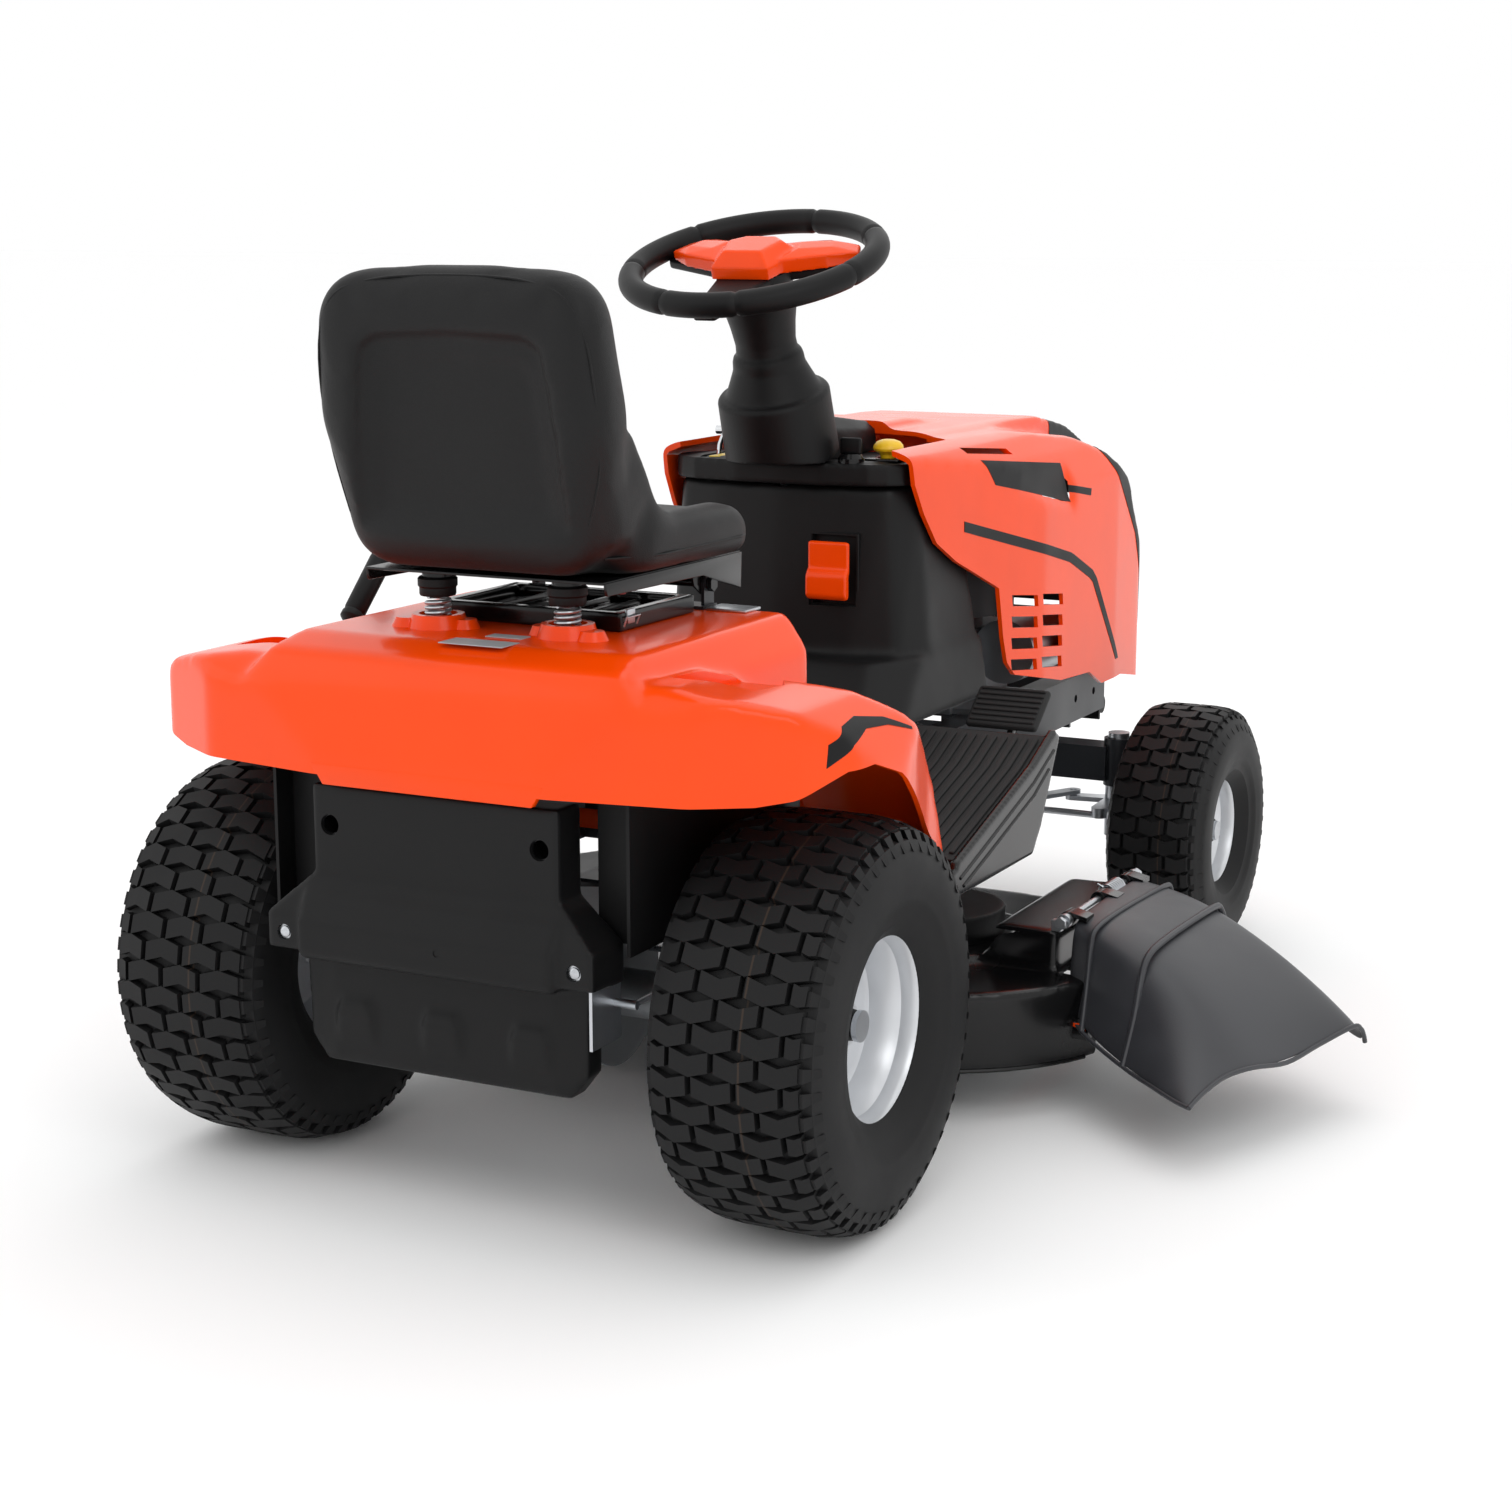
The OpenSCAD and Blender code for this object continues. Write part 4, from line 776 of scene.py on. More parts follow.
class TRACTOR_OT_rear_cover(bpy.types.Operator):
    """Black moulded cover between the rear wheels, with its holes, screws and pads"""
    bl_idname = "tractor.rear_cover"
    bl_label = "Rear cover"

    def execute(self, context):
        def cover(t):
            """The cover's solid, set in by t: an upper panel, a flared shoulder and a lower bin."""
            upper = block((-155 + t, -216 + t, 330), (155 - t, -168, 484 - t))
            shoulder = [(-216 + t, 380 - t), (-230 + t, 362 - t), (-244 + t, 335 - t), (-244 + t, 300 + t),
                        (-236 + t, 292 + t), (-168, 290 + t), (-168, 380 - t)]
            flare = hull([(x * s, y, z) for s in (-1, 1) for x, y, z in
                          [(206 - t, -236 + t, 340 - t), (206 - t, -236 + t, 300 + t),
                           (206 - t, -168, 340 - t),
                           (206 - t, -168, 296 + t), (158 - t, -216 + t, 384 - t),
                           (158 - t, -168, 384 - t)]])
            middle = prism("X", shoulder, -160 + t, 160 - t)
            lower = hull([(x * s, y, z) for s in (-1, 1) for x, y, z in
                          [(180 - t, -200 + t, 300), (180 - t, -168, 300), (178 - t, -200 + t, 196 + t),
                           (178 - t, -168, 196 + t), (156 - t, -200 + t, 168 + t), (156 - t, -168, 168 + t),
                           (140 - t, -205 + t, 300), (140 - t, -205 + t, 180 + t)]])
            return worked(upper, [("UNION", flare), ("UNION", middle), ("UNION", lower)])

        pads = [hull([(x + 24 * a, y, z) for a in (-1, 1) for y, z in ((-206, 196), (-211, 226))]
                     + [(x + 17 * a, y, z) for a in (-1, 1) for y, z in ((-211, 240), (-204, 250))]
                     + [(x + 20 * a, -195, z) for a in (-1, 1) for z in (196, 250)])
                for x in (-112, 0, 112)]
        skin = worked(cover(0), [("UNION", p) for p in pads] + [("SOFTEN", 3.2, 9)])
        holes = both_sides(together(rod((132, -230, 440), (132, -176, 440), 11.5),
                                    rod((183, -260, 319), (183, -232, 319), 9)))
        inner = worked(cover(5), [])
        bmesh.ops.translate(inner, vec=(0, 6 * MM, 0), verts=inner.verts)
        shell = worked(skin, [("DIFFERENCE", inner), ("DIFFERENCE", holes),
                              ("DIFFERENCE", rod((20, -250, 322), (20, -243.2, 322), 4))])
        show("rear_cover_moulding", shell, "polypropylene_textured", "chassis", ["rear_cover"])
        # Dark walls beside the transaxle, between the cover and the tyres
        walls = worked(prism("X", [(-190, 330), (-190, 560), (150, 560), (150, 420), (60, 330)], 221, 225),
                       [])
        walls = together(walls, block((170, -160, 335), (221, -157, 500)))
        show("rear_cover_baffles", both_sides(walls), "polypropylene_textured", "chassis")
        # Round sockets behind the two upper holes, and the screws in the lower ones
        sockets = turned([(11.7, 0), (11.7, 30), (0, 30), (0, 28), (10.2, 28), (10.2, 0), (11.7, 0)],
                         Matrix.Translation(at(132, -212, 440)) @ Matrix.Rotation(-math.pi / 2, 4, "X"), 32)
        show("rear_cover_sockets", both_sides(sockets), "abs_gloss_black", "chassis")
        screw = turned([(0, 0), (4, 0.4), (6.2, 2), (6.4, 4), (8.6, 4.2), (8.6, 6), (0, 6)],
                       Matrix.Translation(at(183, -236.5, 319)) @ Matrix.Rotation(-math.pi / 2, 4, "X"), 24)
        show("rear_cover_screws", both_sides(screw), "zinc_plated_steel", "chassis")
        return {"FINISHED"}


# ---------- Hood ----------
def hood_skin(t):
    """The hood's outer solid, set in by t: shoulders that fall away early and a ridge along the middle."""
    nose = 1549.3
    plan = [(180 - t, 600), (200 - t, 800), (HOOD_HALF - 2 - t, 1000), (HOOD_HALF - t, WHEELBASE + 40),
            (HOOD_HALF - 10 - t, WHEELBASE + 174), (198 - t, WHEELBASE + 222 - t),
            (170 - t, WHEELBASE + 254 - t),
            (90 - t, nose - 6 - t), (0, nose - t)]
    front = [(0, 803 - t), (110, 799 - t), (150 - t, 792 - t), (178 - t, 781 - t),
             (HOOD_HALF - 16 - t, 752 - t),
             (HOOD_HALF - t, 708), (HOOD_HALF - t, 340)]
    ridge = [(590, 340), (590, 796 - t), (800, 802 - t), (1000, 803 - t), (1200, 795 - t),
             (WHEELBASE + 64, 773 - t), (WHEELBASE + 144 - t, 743 - t), (WHEELBASE + 199 - t, 688 - t),
             (WHEELBASE + 236 - t, 610), (WHEELBASE + 266 - t, 510), (nose - 6 - t, 420), (nose - t, 368),
             (nose - t, 340)]
    shoulder = [(590, 340), (590, 790 - t), (800, 792 - t), (1000, 789 - t), (1180, 769 - t),
                (WHEELBASE + 20 - t, 739 - t),
                (WHEELBASE + 104 - t, 695 - t), (WHEELBASE + 176 - t, 600), (WHEELBASE + 232 - t, 500),
                (WHEELBASE + 272 - t, 410), (WHEELBASE + 280 - t, 340)]
    sides = worked(prism("X", ridge, -132 + t, 132 - t), [("UNION", prism("X", shoulder, -400, 400))])
    return meet(sides, prism("Z", mirrored(plan), 340, 940), prism("Y", mirrored(front), 500, 1800))


HOOD_EDGE = [(500, 900), (612, 900), (620, 790), (630, 745), (655, 705), (690, 664), (745, 634), (800, 612),
             (865, 585), (880, 514), (892, 478), (915, 458), (1072, 427), (1190, 421), (1245, 396),
             (1334, 396),
             (1459, 374), (1700, 374), (1700, 300), (500, 300)]


class TRACTOR_OT_hood(bpy.types.Operator):
    """Hinged hood: panel, side windows, louvres, stripes, grille and top scoop"""
    bl_idname = "tractor.hood"
    bl_label = "Hood"

    def execute(self, context):
        dip = hull([(x, y, z) for y, z in ((806, 770), (1082, 745), (1116, 675), (840, 722))
                    for x in (214, 300)])
        top = hull([(x, y, z) for x in (-66, 66) for y, z in ((690, 790), (760, 812), (880, 812),
                                                              (1010, 800))])
        skin = worked(hood_skin(0), [("UNION", top), ("DIFFERENCE", both_sides(dip)), ("SOFTEN", 5.5, 14)])
        slots = [prism("X", [(903 + j * 92, 571 - i * 30 - j * 9), (979 + j * 92, 562 - i * 30 - j * 9),
                             (982 + j * 92, 546 - i * 30 - j * 9), (906 + j * 92, 555 - i * 30 - j * 9)],
                       150, 300)
                 for i in range(4) for j in range(2)]
        upper = prism("X", [(790, 781), (925, 770), (930, 762), (795, 773)], 150, 300)
        grille = mirrored([(0, 420), (140, 424), (132, 560), (104, 655), (0, 662)])
        shell = worked(skin.copy(), [
            ("DIFFERENCE", hood_skin(6)), ("DIFFERENCE", prism("X", HOOD_EDGE, -400, 400)),
            ("DIFFERENCE", block((-154, 500, 700), (154, 798, 900))),
            *[("DIFFERENCE", both_sides(s)) for s in slots], ("DIFFERENCE", both_sides(upper)),
            ("DIFFERENCE", prism("Y", grille, 1400, 1700))])
        show("hood_moulding", shell, "abs_gloss_panel", "hood", ["hood"])
        # Dark trapezoid windows set into the sides
        window = prism("X", [(817, 763), (1075, 739), (1106, 681), (850, 727)], 190, 300)
        show("hood_side_windows", overlay(skin, both_sides(window), 0.6), "polypropylene_textured", "hood")
        # Bent black stripes along the flanks
        stripe = prism("X", [(764, 686), (1100, 609), (1112, 605), (1192, 573), (1210, 559), (1317, 424),
                             (1303, 424), (1194, 555), (1182, 562), (1098, 595), (764, 672)], 150, 300)
        small = prism("X", [(1098, 706), (1178, 694), (1176, 684), (1100, 696)], 150, 300)
        layer = together(overlay(skin, both_sides(stripe), 0.7), overlay(skin, both_sides(small), 0.7))
        show("hood_stripes", layer, "polypropylene_textured", "hood")
        # Dark nose insert down the front corners
        nose = prism("X", [(1240, 752), (1268, 728), (1400, 606), (1462, 494), (1498, 374), (1700, 374),
                           (1700, 900),
                           (1262, 900)], 118, 230)
        show("hood_nose_trim", overlay(skin, both_sides(nose), 0.8), "polypropylene_textured", "hood")
        skin.free()
        return {"FINISHED"}


# ---------- Console, dash and steering ----------
class TRACTOR_OT_console(bpy.types.Operator):
    """Moulded console tower, dash, column shroud and the small controls on them"""
    bl_idname = "tractor.console"
    bl_label = "Console and dash"

    def execute(self, context):
        def tower(t):
            """The console's solid, set in by t: a tower on a wide foot between the foot wells."""
            upper = hull([(x * s, y, z - t) for s in (-1, 1) for x, y, z in
                          [(0, 606 + t, 742), (90, 612 + t, 742), (150, 626 + t, 742), (174 - t, 666, 742),
                           (174 - t, 790, 742), (0, 584 + t, 500), (100, 590 + t, 500), (165, 616 + t, 500),
                           (188 - t, 676, 500), (188 - t, 850, 500)]])
            lower = hull([(x * s, y, z - t) for s in (-1, 1) for x, y, z in
                          [(0, 560 + t, 522), (150, 566 + t, 522), (192 - t, 640, 522), (192 - t, 850, 522),
                           (0, 470 + t, 440), (176, 480 + t, 440), (204 - t, 540, 440),
                           (204 - t, 850, 440)]])
            base = hull([(x * s, y, z) for s in (-1, 1) for x, y, z in
                         [(150 - t, 232, 482 - t), (150 - t, 640, 482 - t), (205 - t, 232, 391),
                          (205 - t, 700, 391)]])
            return worked(upper, [("UNION", lower), ("UNION", base)])

        skin = worked(tower(0), [("SOFTEN", 4.5, 26)])
        inner = tower(9)
        bmesh.ops.translate(inner, vec=(0, 6 * MM, -6 * MM), verts=inner.verts)
        shell = worked(skin, [
            ("DIFFERENCE", inner), ("DIFFERENCE", block((-174, 704, 300), (174, 900, 736))),
            ("DIFFERENCE", block((49, 540, 587), (113, 612, 679))),
            ("DIFFERENCE", rod((0, 0, -420), (0, 0, -150), 21, matrix=COLUMN))])
        show("console_moulding", shell, "polypropylene_textured", "chassis", ["console"])
        # Pocket behind the latch handle
        pocket = worked(block((46, 604, 584), (116, 620, 682)), [
            ("DIFFERENCE", block((50, 580, 588), (112, 615, 678)))])
        show("console_latch_pocket", rounded(pocket, 1, 1), "polypropylene_textured", "chassis")

        outline = mirrored([(0, 596), (60, 597), (90, 602), (126, 608), (150, 620), (166, 636), (174, 660),
                            (168, 690),
                            (150, 700), (150, 788)])
        plate = worked(prism("Z", outline, 742, 771), [
            ("UNION", rounded(prism("Z", mirrored([(60, 606), (120, 616), (140, 636), (140, 690), (86, 700),
                                                   (60, 640)]),
                                    768, 773), 2, 2)), ("SOFTEN", 3, 5)])
        slotted = worked(plate, [("DIFFERENCE", block((-120, 612, 741), (-110, 690, 790))),
                                 ("DIFFERENCE", rod((0, 0, -420), (0, 0, -100), 21, matrix=COLUMN)),
                                 ("DIFFERENCE", rod((130, 664, 700), (130, 664, 790), 6)),
                                 ("DIFFERENCE", rod((96, 622, 750), (96, 622, 790), 9))])
        show("dash_moulding", slotted, "polypropylene_textured", "chassis", ["dash"])

        drum = turned([(19, -44), (50, -44), (50, -48), (46, -62), (42, -82), (39, -105), (40, -118),
                       (44, -121),
                       (46, -127), (47, -138), (52, -150), (59, -166), (62, -172), (70, -174), (73, -178),
                       (74.5, -262),
                       (19, -262), (19, -44)], COLUMN, 64)
        ridge = hull([(x * s, y, z) for s in (-1, 1) for x, y, z in
                      [(56, 640, 772), (60, 640, 812), (52, 800, 772), (50, 800, 800), (44, 640, 830),
                       (40, 790, 812)]])
        shroud = worked(drum, [("UNION", ridge), ("DIFFERENCE", block((-120, 400, 600), (120, 900, 771.5))),
                               ("SOFTEN", 2.2, 2)])
        show("column_shroud_moulding", shroud, "polypropylene_textured", "chassis", ["column_shroud"])

        # Key switch collar, chrome cap, square knob base and blank labels on the dash
        collar = turned([(9, 0), (17, 0), (17, 6), (13, 12), (9, 12), (9, 0)],
                        Matrix.Translation(at(96, 622, 771)), 32)
        base = rounded(block((106, 640, 771), (154, 688, 776)), 2, 2)
        base = worked(base, [("DIFFERENCE", rod((130, 664, 760), (130, 664, 790), 14))])
        show("dash_collars", together(collar, base), "abs_gloss_black", "chassis")
        cap = turned([(0, 17), (6, 16.5), (12, 13), (14, 9), (14, 0), (0, 0)],
                     Matrix.Translation(at(122, 704, 770)), 32)
        show("dash_chrome_cap", cap, "chrome_plate", "chassis")
        films = together(block((-106, 612, 771.2), (-90, 668, 773.2)), block((80, 640, 772),
                                                                             (102, 652, 773.4)))
        show("dash_blank_labels", rounded(films, 0.5, 1), "label_film_yellow", "chassis")

        knob = turned([(0, 800), (8, 799.5), (15, 797), (19, 792.5), (20, 788), (18.5, 785), (15.5, 783.5),
                       (11, 780),
                       (9, 772), (9, 762), (5.4, 762), (5.4, 742.4), (0, 742.4)],
                      Matrix.Translation(at(130, 664, 0)), 40)
        show("pto_knob_mushroom", knob, "nylon_yellow", "pto_knob", ["pto_knob"])
        key = together(rod((96, 622, 755), (96, 622, 783), 7.5),
                       rounded(block((81, 618.5, 782), (111, 625.5, 803.5)), 3, 3))
        show("key_grip", key, "polypropylene_textured", "key", ["key"])
        lever = together(tube([(-115, 650, 750), (-115, 656, 768), (-115, 660, 784), (-113, 668, 798)],
                              3.2),
                         rod((-124, 670, 803), (-106, 670, 803), 6, 24), rod((-120.5, 650, 750),
                                                                             (-109.5, 650, 750), 6.8))
        show("throttle_lever_bent", lever, "chrome_plate", "throttle_lever", ["throttle_lever"])
        grip = hull([(x, y, z) for x in (52, 110) for y, z in ((576, 602), (576, 628), (582, 636),
                                                               (590, 640), (590, 598),
                                                             (582, 596))])
        grip = worked(rounded(grip, 3, 3), [("UNION", rounded(block((52, 584, 628), (110, 592, 672)), 3,
                                                              2)),
                                            ("DIFFERENCE", rod((60, 574, 640), (102, 574, 640), 9))])
        handle = worked(grip, [("SOFTEN", 1.6, 4)])
        show("latch_handle_moulding", handle, "abs_gloss_panel", "latch_handle", ["latch_handle"])
        return {"FINISHED"}


class TRACTOR_OT_steering_wheel(bpy.types.Operator):
    """Padded steering wheel with grooves, spokes, and an orange three-part cover"""
    bl_idname = "tractor.steering_wheel"
    bl_label = "Steering wheel"

    def execute(self, context):
        ring, pad = 157.0, 15.8
        bm = bmesh.new()
        place = Matrix.Translation((ring * MM, 0, 0)) @ Matrix.Rotation(math.pi / 2, 4, "X")
        bmesh.ops.create_circle(bm, segments=28, radius=pad * MM, matrix=place)
        bmesh.ops.spin(bm, geom=bm.verts[:] + bm.edges[:], cent=(0, 0, 0), axis=(0, 0, 1), dvec=(0, 0, 0),
                       angle=math.tau, steps=180, use_merge=True)
        bmesh.ops.remove_doubles(bm, verts=bm.verts, dist=1e-6)
        bmesh.ops.recalc_face_normals(bm, faces=bm.faces)
        grooves = [math.radians(a) for a in (36, 84, 144, 196, 252, 288, 344)]
        for v in bm.verts:
            a = math.atan2(v.co.y, v.co.x) % math.tau
            near = min(abs((a - g + math.pi) % math.tau - math.pi) for g in grooves)
            if near < math.radians(1.2):
                core = Vector((math.cos(a), math.sin(a), 0)) * ring * MM
                v.co = core + (v.co - core) * 0.86
        bmesh.ops.transform(bm, matrix=COLUMN, verts=bm.verts)
        spokes = []
        for a in (20, 160, 270):
            turn = COLUMN @ Matrix.Rotation(math.radians(a), 4, "Z")
            wide, narrow = (40, 15) if a == 270 else (20, 14)
            face = -9 if a == 270 else -11
            arm = wrapped([(x, s * y, z) for x, y in ((20, wide), (ring - 8, narrow)) for z in (-24, face)
                           for s in (-1, 1)], turn)
            spokes.append(rounded(arm, 4, 3))
        hub = turned([(0, -42), (30, -42), (42, -38), (46, -30), (50, -20), (50, -10), (0, -10)], COLUMN,
                     48)
        show("steering_wheel_padded", together(bm, hub, *spokes), "polypropylene_textured", "steering",
             ["steering_wheel"])
        wings = []
        for a in (20, 160):
            turn = COLUMN @ Matrix.Rotation(math.radians(a), 4, "Z")
            wings.append(wrapped([(x, s * half, z) for x, half, z in
                                  ((34, 33, 9), (34, 33, -9), (ring - 22, 15, 2), (ring - 22, 15, -9),
                                   (96, 30, 8),
                                   (96, 30, -9), (60, 14, 15), (104, 12, 12)) for s in (-1, 1)], turn))
        outline = ((-40, -42), (40, -42), (56, 20), (30, 44), (-30, 44), (-56, 20))
        centre = wrapped([(x * scale, y * scale, z) for scale, z in ((1.0, -9), (1.0, 6), (0.66, 24))
                          for x, y in outline], COLUMN)
        cover = worked(centre, [("UNION", w) for w in wings] + [("SOFTEN", 2.0, 3)])
        show("steering_wheel_cover", cover, "abs_gloss_panel", "steering", ["wheel_cover"])
        return {"FINISHED"}


# ---------- Seat ----------
def upholstered(bm, cap):
    """Swells a closed form as stuffed cloth: a short pressure simulation.

    No point moves further than cap."""
    soft = worked(bm, [("SOFTEN", 5, 1)])
    obj = temporary(soft)
    start = [v.co.copy() for v in obj.data.vertices]
    cloth = obj.modifiers.new("cloth", "CLOTH")
    cloth.settings.use_pressure = True
    cloth.settings.uniform_pressure_force = 2
    cloth.settings.tension_stiffness = cloth.settings.compression_stiffness = 40
    cloth.settings.bending_stiffness = 8
    cloth.settings.effector_weights.gravity = 0
    cloth.settings.quality = 5
    cloth.collision_settings.use_collision = False
    for number in range(1, 21):
        bpy.context.scene.frame_set(number)
    settled = obj.evaluated_get(bpy.context.evaluated_depsgraph_get())
    moved = [v.co.copy() for v in settled.data.vertices]
    bpy.context.scene.frame_set(1)
    done = bmesh.new()
    done.from_mesh(obj.data)
    for v, a, b in zip(done.verts, start, moved):
        step = b - a
        if step.length > cap * MM:
            step *= cap * MM / step.length
        v.co = a + step
    mesh = obj.data
    bpy.data.objects.remove(obj)
    bpy.data.meshes.remove(mesh)
    for _ in range(5):
        bmesh.ops.smooth_vert(done, verts=done.verts, factor=0.5, use_axis_x=True, use_axis_y=True,
                              use_axis_z=True)
    return done


def on_surface(tree, start, direction, sink=0.0):
    """Where a ray from a point meets the surface, as millimetres in the tractor's axes."""
    hit, normal, *_ = tree.ray_cast(at(*start), Vector(direction))
    if hit is None:
        raise RuntimeError(f"no surface at {start}")
    return tuple((hit - ORIGIN - normal * sink * MM) / MM)


def eased(points, steps=6):
    """A smooth curve through some points."""
    path = []
    spots = [Vector(points[0])] + [Vector(p) for p in points] + [Vector(points[-1])]
    for a, b, c, d in zip(spots, spots[1:], spots[2:], spots[3:]):
        for i in range(steps):
            t = i / steps
            path.append(0.5 * (2 * b + (c - a) * t + (2 * a - 5 * b + 4 * c - d) * t * t
                               + (3 * b - a - 3 * c + d) * t * t * t))
    return [tuple(p) for p in path] + [tuple(points[-1])]


class TRACTOR_OT_seat(bpy.types.Operator):
    """One-piece upholstered seat with a recessed back panel, seams and bolsters"""
    bl_idname = "tractor.seat"
    bl_label = "Seat"

    def execute(self, context):
        # Half width, and the height of the underside, which rests on the seat plate
        half, low = 183.0, 710.5

        def slab(spots, top, bottom):
            """Round-cornered slab: hull of upright rods (x, y, radius)."""
            points = []
            for x, y, r in spots:
                for k in range(16):
                    a = math.tau * k / 16
                    for z, q in ((bottom, r - 8), (bottom + 10, r), (top - 12, r), (top, r - 10)):
                        points.append((x + q * math.cos(a), y + q * math.sin(a), z))
            return hull(points)

        cushion = slab([(s * (half - 46), y, 42) for s in (-1, 1) for y in (158, -40)], 758, low)
        bolsters = [slab([(s * (half - 30), 150, 26), (s * (half - 30), -40, 28)], 768, low + 10)
                    for s in (-1, 1)]

        def back_disc(x, z, r, y1, y2):
            """Points of a round-edged disc across the seat's back, from y1 to y2."""
            points = []
            for k in range(20):
                a = math.tau * k / 20
                for y, q in ((y1, r - 16), (y1 + 10, r - 4), (y1 + 22, r), (y2 - 16, r), (y2, r - 12)):
                    points.append((x + q * math.cos(a), y, z + q * math.sin(a)))
            return points

        back = hull([p for s in (-1, 1) for p in back_disc(s * 110, 763, 50, -140, -62)
                     + back_disc(s * 132, 880, 48, -160, -84) + back_disc(s * 118, 974, 56, -169, -104)])
        crown = hull([p for s in (-1, 1) for p in back_disc(s * 46, 976, 58, -168, -106)])
        # Fillets that join the back's sides to the base
        wedges = [hull([(s * x, y, z) for x in (128, 168) for y, z in outline]) for s in (-1, 1)
                  for outline in (
            [(50, 742), (16, 768), (-30, 786), (-110, 786), (-110, 742)],
            [(-6, 762), (-40, 806), (-64, 866), (-112, 866), (-112, 742)])]
        shape = worked(cushion, [("UNION", b) for b in bolsters + wedges] + [("UNION", back),
                                                                             ("UNION", crown),
                       ("DIFFERENCE", ball((0, 50, 858), (118, 150, 112))),
                       ("DIFFERENCE", ball((0, 22, 900), (112, 110, 150))), ("SOFTEN", 5, 22)])
        recess = hull([(x * s, y, z) for s in (-1, 1) for x, z, skin in
                       [(132, 758, -136.5), (128, 800, -142), (120, 900, -151), (112, 950, -156.5),
                        (92, 963, -157.5),
                        (0, 967, -158)] for y in (skin, -260)])
        inner = hull([(x * s, y, z) for s in (-1, 1) for x, z, skin in
                      [(112, 775, -133.5), (104, 860, -142), (97, 926, -150), (82, 938, -151),
                       (0, 944, -151.5)]
                      for y in (skin, -260)])
        shape = worked(shape, [("DIFFERENCE", recess), ("DIFFERENCE", inner), ("SOFTEN", 3.2, 3)])
        padded = upholstered(shape, context.scene.tractor_sizes.swell / MM)
        floor = ORIGIN.z + 707.4 * MM
        for v in padded.verts:
            v.co.z = max(v.co.z, floor)
        tree = BVHTree.FromBMesh(padded)
        # Sewn parting line round the back, and the lower seam of the base
        behind = [(150, 770), (166, 830), (170, 900), (163, 965), (140, 1004), (96, 1019), (40, 1024)]
        rear = [on_surface(tree, (x, -400, z), (0, 1, 0), 0.4) for x, z in behind]
        rear += [(-p[0], p[1], p[2]) for p in reversed(rear)]
        side = [on_surface(tree, (400, y, 730), (-1, 0, 0), 0.3) for y in (-96, -40, 20, 80, 130, 160)]
        front = [on_surface(tree, (x, 400, 730), (0, -1, 0), 0.3) for x in (150, 110, 60)]
        belt = side + front
        belt += [(-p[0], p[1], p[2]) for p in reversed(belt)]
        seat = show("seat_upholstery", padded, "vinyl_calf_grain", "seat", ["seat_cushion"], 60)
        smooth = seat.modifiers.new("round", "SUBSURF")
        smooth.levels = smooth.render_levels = 1
        seams = together(tube(eased(rear, 4), 1.3, 8), tube(eased(belt, 4), 1.5, 8))
        show("seat_seams", seams, "vinyl_calf_grain", "seat")
        return {"FINISHED"}


class TRACTOR_OT_seat_mount(bpy.types.Operator):
    """Pressed seat plate with cup stops, spring seats, tray with its clip, and the seat switch"""
    bl_idname = "tractor.seat_mount"
    bl_label = "Seat mount"

    def execute(self, context):
        plate = rounded(block((-150, -110, 704), (150, 205, 707)), 1, 2)
        flange = rounded(prism("X", [(-108, 706), (-104, 692), (110, 689), (150, 678), (202, 664),
                                     (204, 706)], 149, 152.6), 1, 2)
        ears = rounded(prism("X", [(150, 706), (164, 668), (182, 656), (198, 660), (203, 706)], 108.5,
                             111.7), 0.8, 2)
        cup = turned([(0, 704), (17, 704), (17, 676), (16, 674.6), (0, 674.6)],
                     Matrix.Translation(at(*SPRING, 0)), 40)
        pin = rod((-120, 192, 668), (120, 192, 668), 5, 24)
        nut = rod((108, 192, 668), (123, 192, 668), 9, 6)
        made = together(plate, both_sides(together(flange, ears, cup)), pin, both_sides(nut))
        show("seat_plate_pressed", made, "powder_coat_black", "seat", ["seat_plate"])
        skirt = turned([(16, 675), (19.4, 675), (20.4, 677), (20.4, 684), (22, 686), (22, 694), (20, 696),
                        (16, 696), (16, 675)],
                       Matrix.Translation(at(*SPRING, 0)), 40)
        show("spring_cups", both_sides(skirt), "polypropylene_textured", "seat")
        tray = worked(block((-120, -20, 640.2), (120, 150, 661)), [
            ("DIFFERENCE", block((-104, -4, 650), (104, 134, 670)))])
        ribs = [block((x, -4, 645), (x + 4, 134, 657)) for x in (-60, -20, 20, 60)]
        tray = worked(tray, [("UNION", r) for r in ribs] + [("SOFTEN", 2.4, 3)])
        show("tray_moulding", tray, "abs_gloss_black", "chassis", ["fuel_tank"])
        clip = together(rounded(block((118, -8, 648), (122.5, 8, 664)), 1, 2),
                        tube([(120, -14, 646), (124, -14, 656),
                        (124, 14, 656), (120, 14, 646)], 1.6))
        show("tray_clip", clip, "zinc_plated_steel", "chassis")
        switch = together(rounded(block((66, 40, 680), (90, 66, 703.8)), 2, 2),
                          rod((78, 53, 671), (78, 53, 680), 6))
        show("seat_switch", switch, "nylon_red", "seat")
        hinge = rounded(block((124, 168, 640), (176, 206, 643.5)), 1, 2)
        show("hinge_strips", both_sides(hinge), "zinc_plated_steel", "chassis")
        return {"FINISHED"}


# ---------- Footrests, pedal and lever ----------
FLOOR = [(236, 352), (300, 370), (380, 394), (470, 420), (545, 452), (556, 449)]


